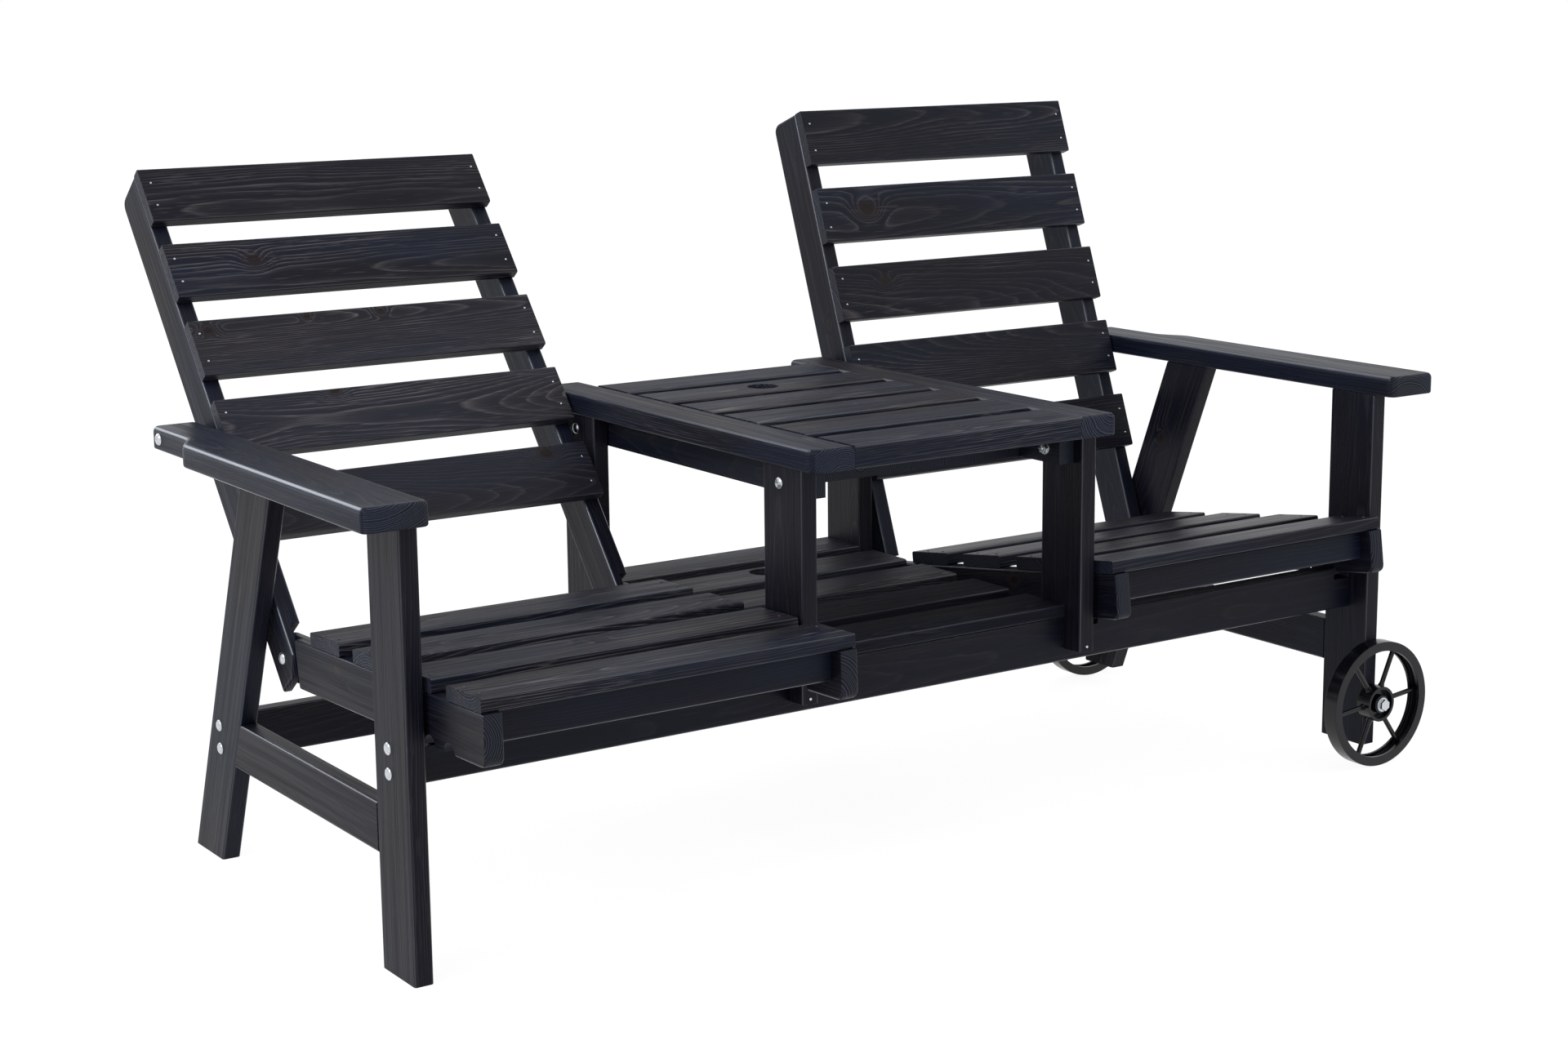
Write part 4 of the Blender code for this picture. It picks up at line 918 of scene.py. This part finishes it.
for body, steel in NAIL_FINISH.items():
    shape = bmesh.new()
    for name in sorted(boards):
        if name.startswith(f"{body}_slat"):
            for place in nail_places(name):
                spun(shape, NAIL_HEAD, NAIL_STEPS, place)
    close_up(shape)
    finish_piece(f"{body}_nails", shape, [], body, "zinc_steel", [steel])
    print(body, "nails done")

# %% [markdown]
# ## Carriage bolts
#
# The frame is held by carriage bolts: a low domed head with a thin rim, and no slot. Two go
# through each leg's foot into the stretcher, and one through the head of each table post. The
# profile of the dome is a quarter of an ellipse, because a slice of a ball would meet the rim at
# an angle. The head sits a fraction of a millimetre into the wood, so no light shows under it.
#
# The bolts' places are pairs: how far behind the front legs' front faces, and how high.

# %% Carriage bolts
HEAD_ROUND = 0.0088
HEAD_HIGH = 0.0042
HEAD_RIM = HEAD_HIGH * 0.12
HEAD_SUNK = -HEAD_HIGH * 0.15
HEAD_SIDES = 24
DOME_STEPS = 6
LEG_FRONT_Y = -0.4196
LEG_BOLTS = ((0.054, 0.312), (0.054, 0.278), (0.626, 0.212), (0.626, 0.177))
POST_BOLTS = ((0.054, 0.593), (0.626, 0.595))
LEFT_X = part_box("leg_front_left")[0].x
RIGHT_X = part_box("leg_front_right")[1].x
POST_LEFT_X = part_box("post_front_left")[0].x
POST_RIGHT_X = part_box("post_front_right")[1].x
FACING_LEFT = Matrix.Rotation(-pi / 2, 4, "Y")
FACING_RIGHT = Matrix.Rotation(pi / 2, 4, "Y")


def domed_head(shape, place):
    """A carriage bolt's head, with its axis along the matrix's own Z."""
    angles = [pi / 2 * step / DOME_STEPS for step in range(DOME_STEPS)]
    profile = [(HEAD_ROUND * sin(angle), HEAD_HIGH * cos(angle)) for angle in angles]
    profile += [(HEAD_ROUND, HEAD_RIM), (HEAD_ROUND, HEAD_SUNK)]
    spun(shape, profile, HEAD_SIDES, place)


shape = bmesh.new()
for left_x, right_x, places in ((LEFT_X, RIGHT_X, LEG_BOLTS), (POST_LEFT_X, POST_RIGHT_X, POST_BOLTS)):
    for behind_front, z in places:
        domed_head(shape, Matrix.Translation((left_x, behind_front + LEG_FRONT_Y, z)) @ FACING_LEFT)
        domed_head(shape, Matrix.Translation((right_x, behind_front + LEG_FRONT_Y, z)) @ FACING_RIGHT)
close_up(shape)
finish_piece("carriage_bolts", shape, [], "frame", "zinc_steel", [zinc])
print("carriage bolts done")

# %% [markdown]
# ## Nuts on the aprons, and the screws in the posts' feet
#
# A table post is bolted to the apron beside it. The bolt comes out on the apron's inner face,
# where a washer and a nut hold it. A hexagon starts as a six-sided cone with equal ends, and a
# bevel on its outer rim gives the turned chamfer that every nut has. Each front post also has one
# small screw low in the tongue that laps over the rail.

# %% Nuts and screws
NUT_ROUND = 0.0085
NUT_HIGH = 0.0055
NUT_CHAMFER = 0.0009
WASHER_BORE = 0.003
WASHER_ROUND = 0.0105
WASHER_THICK = 0.0015
WASHER_SUNK = -0.0002
WASHER_SIDES = 32
APRON_THICK = 0.028
STUB_SIDES = 16
STUB_ROUND = 0.004
STUB_EASE = 0.001
STUB_START = 0.001
STUB_TOP = NUT_HIGH + 0.0035
SCREW_UP = 0.008
SCREW_HEAD = [(0.0, 0.0006), (0.0019, 0.0004), (0.0023, -0.0003)]


def hexagon(shape, place, radius, low, high, chamfer):
    """A six-sided prism from one height to another, with its outer rim chamfered."""
    before = set(shape.verts)
    middle = (low + high) / 2
    made = bmesh.ops.create_cone(
        shape, cap_ends=True, segments=6, radius1=radius, radius2=radius, depth=high - low,
        matrix=Matrix.Translation((0, 0, middle)),
    )["verts"]
    around = {edge for vertex in made for edge in vertex.link_edges}
    top = [edge for edge in around if all(end.co.z > middle for end in edge.verts)]
    bevel(shape, top, chamfer)
    lay_new(shape, before, place)


def washer(shape, place, bore, radius, low, high):
    """A flat ring with an eased outer rim."""
    ease = (high - low) / 4
    rim = [(radius, low), (radius, high - ease), (radius - ease, high)]
    spun(shape, [(bore, low), *rim, (bore, high), (bore, low)], WASHER_SIDES, place)


stub = [
    (0.0, STUB_TOP), (STUB_ROUND - STUB_EASE, STUB_TOP),
    (STUB_ROUND, STUB_TOP - STUB_EASE), (STUB_ROUND, STUB_START),
]
left_apron_x = POST_LEFT_X + 2 * APRON_THICK
right_apron_x = POST_RIGHT_X - 2 * APRON_THICK
shape = bmesh.new()
for apron_x, facing in ((left_apron_x, FACING_RIGHT), (right_apron_x, FACING_LEFT)):
    for behind_front, z in POST_BOLTS:
        place = Matrix.Translation((apron_x, behind_front + LEG_FRONT_Y, z)) @ facing
        washer(shape, place, WASHER_BORE, WASHER_ROUND, WASHER_SUNK, WASHER_THICK)
        hexagon(shape, place, NUT_ROUND, WASHER_THICK, WASHER_THICK + NUT_HIGH, NUT_CHAMFER)
        spun(shape, stub, STUB_SIDES, place)
for post in ("post_front_left", "post_front_right"):
    low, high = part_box(post)
    middle_x = (low.x + high.x) / 2
    place = Matrix.Translation((middle_x, low.y, low.z + SCREW_UP)) @ Matrix.Rotation(pi / 2, 4, "X")
    spun(shape, SCREW_HEAD, STUB_SIDES, place)
close_up(shape)
finish_piece("nuts_and_screws", shape, [], "frame", "zinc_steel", [zinc])
print("nuts and screws done")

# %% [markdown]
# ## Pivot bolts
#
# The backs turn on long bolts, and the seats hang from shorter ones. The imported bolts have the
# right shape but flat facets, so nothing is built again. Merged and shaded smooth, they take the
# same zinc as the rest.

# %% Pivot bolts
for name in sorted(nodes):
    if "_bolt_" in name and not name.startswith("axle"):
        shape = clean_copy(name)
        finish_piece(f"{name}.plated", shape, [name], nodes[name]["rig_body"], "zinc_steel", [zinc])
print("pivot bolts plated")

# %% [markdown]
# ## Spokes
#
# Each wheel is welded steel: a rim with a channel inside, six round spokes and a dished hub. A
# spoke is three cones in a row: a small flare where it is welded on, the rod, and a flare at its
# other end. A plain rod would meet rim and hub in a hard line that no weld has.

# %% Spokes
HUB_ROUND = 0.0295
SPOKES = 6
SPOKE_SIDES = 16
SPOKE_ROUND = 0.0041
SPOKE_TURN = radians(6)
WELD_ROUND = 0.0060
WELD_LONG = 0.005
WELD_DEEP = 0.001


def weld_spokes(shape, place, web):
    """Six spokes between hub and rim, each with a flare where it is welded on."""
    stations = (
        (HUB_ROUND - WELD_DEEP, WELD_ROUND), (HUB_ROUND + WELD_LONG, SPOKE_ROUND),
        (web - WELD_LONG, SPOKE_ROUND), (web + WELD_DEEP, WELD_ROUND),
    )
    for index in range(SPOKES):
        turn = Matrix.Rotation(SPOKE_TURN + index * 2 * pi / SPOKES, 4, "Z")
        along = place @ turn @ Matrix.Rotation(pi / 2, 4, "Y")
        for (start, near), (end, far) in zip(stations, stations[1:]):
            bmesh.ops.create_cone(
                shape, cap_ends=False, segments=SPOKE_SIDES, radius1=near, radius2=far, depth=end - start,
                matrix=along @ Matrix.Translation((0, 0, (start + end) / 2)),
            )


print("a wheel has", SPOKES, "spokes")

# %% [markdown]
# ## Wheels
#
# A closed outline of the rim, spun once round the axle, makes the whole ring. A tube could be
# bent into a ring too, but the outline holds the channel and both lips at once. The bevel on its
# sharp edges gives the thin bright lines that the photograph shows. The hub is made the same way.

# %% Wheels
WHEEL_ROUND = 0.105
WHEEL_WIDE = 0.026
WHEEL_SIDES = 96
RIM_LIP = 0.0155
RIM_LIP_WIDE = 0.005
RIM_WEB = 0.009
HUB_WALL = 0.005
HUB_FLOOR = 0.003
HUB_PROUD = 0.001
HUB_SIDES = 48
SLEEVE_ROUND = 0.015
SLEEVE_PROUD = 0.002
AXLE_ROUND = 0.0054


def facing_out(name, facing, y):
    """A matrix at a wheel's axle whose own Z points outwards; facing is the side its bolt is on."""
    low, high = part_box(name)
    place = Matrix.Translation(((low.x + high.x) / 2, y, WHEEL_ROUND))
    return place @ Matrix.Rotation(-facing * pi / 2, 4, "X")


def spoked_wheel(name, facing):
    """One wheel in enamel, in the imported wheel's place."""
    low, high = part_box(name)
    half = WHEEL_WIDE / 2
    place = facing_out(name, facing, (high.y if facing < 0 else low.y) + facing * half)
    inner, web, lip = WHEEL_ROUND - RIM_LIP, WHEEL_ROUND - RIM_WEB, half - RIM_LIP_WIDE
    rim = [
        (WHEEL_ROUND, half), (WHEEL_ROUND, -half), (inner, -half), (inner, -lip), (web, -lip),
        (web, lip), (inner, lip), (inner, half), (WHEEL_ROUND, half),
    ]
    dish, brim, top = HUB_ROUND - HUB_WALL, half + HUB_PROUD, half + SLEEVE_PROUD
    hub = [
        (AXLE_ROUND, top), (SLEEVE_ROUND, top), (SLEEVE_ROUND, HUB_FLOOR), (dish, HUB_FLOOR), (dish, brim),
        (HUB_ROUND, brim), (HUB_ROUND, -half), (AXLE_ROUND, -half), (AXLE_ROUND, top),
    ]
    shape = bmesh.new()
    spun(shape, rim, WHEEL_SIDES, place)
    spun(shape, hub, HUB_SIDES, place)
    close_up(shape)
    soften_cut_edges(shape)
    weld_spokes(shape, place, web)
    close_up(shape)
    finish_piece(f"{name}.enamelled", shape, [name], nodes[name]["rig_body"], "wheel_metal", [enamel])


spoked_wheel("wheel_front", -1)
spoked_wheel("wheel_rear", 1)
print("wheels done")

# %% [markdown]
# ## Axle bolts
#
# A long hexagon bolt goes through each wheel into the leg's end, with one wide washer. Its head is
# the only bright thing in the black wheel, so its chamfer matters. It is made from the same
# hexagon and washer as the nuts, with its shank behind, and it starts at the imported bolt's end.

# %% Axle bolts
AXLE_HEAD_ROUND = 0.0098
AXLE_HEAD_HIGH = 0.0066
AXLE_CHAMFER = 0.0012
AXLE_WASHER_BORE = 0.004
AXLE_WASHER_ROUND = 0.012
AXLE_WASHER_BACK, AXLE_WASHER_FRONT = -0.0085, -0.0065
SHANK_ROUND = 0.005
SHANK_END = -0.080
SHANK_SIDES = 24

for name, facing in (("axle_bolt_front", -1), ("axle_bolt_rear", 1)):
    low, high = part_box(name)
    place = facing_out(name, facing, low.y if facing < 0 else high.y)
    shape = bmesh.new()
    hexagon(shape, place, AXLE_HEAD_ROUND, -AXLE_HEAD_HIGH, 0.0, AXLE_CHAMFER)
    washer(shape, place, AXLE_WASHER_BORE, AXLE_WASHER_ROUND, AXLE_WASHER_BACK, AXLE_WASHER_FRONT)
    spun(shape, [(SHANK_ROUND, AXLE_WASHER_BACK), (SHANK_ROUND, SHANK_END)], SHANK_SIDES, place)
    close_up(shape)
    finish_piece(f"{name}.plated", shape, [name], nodes[name]["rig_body"], "zinc_steel", [zinc])
print("axle bolts done")

# %% [markdown]
# ## Floor
#
# The photograph has a plain white ground. More light would make any floor white, but it would
# bleach the bench too. So the floor is white paint that also glows, and the glow shows only to
# rays from the camera and to rays that a surface mirrors or lets through. The soft light that
# rises from the floor comes from the paint alone, glossy metal still shows a white ground, and
# the paint keeps a little of the bench's shadow.

# %% Floor
FLOOR_SIZE = 30
PAINT = (0.9, 0.9, 0.9, 1)
PAINT_ROUGH = 0.9
GLOW = 1.13
GLOW_SHARE = 0.82
WHITE = (1, 1, 1, 1)


def sees_white(tree):
    """1 for rays from the camera, and for rays that a surface mirrors or lets through."""
    rays = node(tree, "ShaderNodeLightPath").outputs
    mirrored = sums(tree, "MAXIMUM", rays["Is Glossy Ray"], rays["Is Transmission Ray"])
    return sums(tree, "MAXIMUM", rays["Is Camera Ray"], mirrored)


shape = bmesh.new()
bmesh.ops.create_grid(shape, x_segments=1, y_segments=1, size=FLOOR_SIZE)
mesh = bpy.data.meshes.new("floor")
shape.to_mesh(mesh)
shape.free()
floor = add_object("floor", mesh)
paint, tree, shader = new_material("white_floor")
shader.inputs["Base Color"].default_value = PAINT
shader.inputs["Roughness"].default_value = PAINT_ROUGH
glow = node(tree, "ShaderNodeEmission", {"Color": WHITE, "Strength": GLOW}).outputs[0]
seen = sums(tree, "MULTIPLY", sees_white(tree), GLOW_SHARE)
mixed = node(tree, "ShaderNodeMixShader", {0: seen, 1: shader.outputs[0], 2: glow})
plug(tree, tree.nodes["Material Output"].inputs["Surface"], mixed.outputs[0])
mesh.materials.append(paint)
print("floor ready")

# %% [markdown]
# ## Light
#
# The light is plain and soft: an even sky gives most of it, and large square lamps give the boards
# their shape. A colour renders about as it is written. The key lamp stands to the left and above
# and draws the long pale lines along the rounded edges. Weaker lamps light the tops, the right side
# and the back. The camera, and every mirrored ray, sees a white backdrop instead of the sky.

# %% World and lamps
SKY = (0.95, 0.97, 1.0, 1)
SKY_STRENGTH = 0.75

world = bpy.data.worlds.new("studio")
bpy.context.scene.world = world
world.use_nodes = True
tree = world.node_tree
soft_light = node(tree, "ShaderNodeBackground", {"Color": SKY, "Strength": SKY_STRENGTH}).outputs[0]
backdrop = node(tree, "ShaderNodeBackground", {"Color": WHITE, "Strength": 1.0}).outputs[0]
both = node(tree, "ShaderNodeMixShader", {0: sees_white(tree), 1: soft_light, 2: backdrop})
plug(tree, tree.nodes["World Output"].inputs["Surface"], both.outputs[0])


def soft_lamp(name, place, target, size, watts, colour):
    """A square soft box that looks at a target."""
    light = bpy.data.lights.new(name, "AREA")
    light.size = size
    light.energy = watts
    light.color = colour
    made = add_object(name, light)
    made.location = place
    made.rotation_euler = (Vector(target) - Vector(place)).to_track_quat("-Z", "Y").to_euler()


soft_lamp("key", (-3.1, -0.6, 2.6), (0.0, 0.0, 0.5), 1.5, 34, (0.86, 0.91, 1.0))
soft_lamp("above", (0.6, -0.9, 3.3), (-0.2, 0.0, 0.7), 2.0, 4, (0.82, 0.88, 1.0))
soft_lamp("front right", (2.4, -1.9, 2.3), (0.6, 0.1, 0.7), 1.6, 6, (0.76, 0.86, 1.0))
soft_lamp("behind", (1.9, 2.4, 2.5), (0.0, 0.0, 0.5), 2.0, 5, (0.78, 0.85, 1.0))
soft_lamp("behind left", (-1.7, 2.9, 2.2), (-0.8, 0.0, 0.6), 1.3, 16, (0.78, 0.86, 1.0))
bpy.context.scene.view_settings.view_transform = "Standard"
print("sky and five lamps ready")
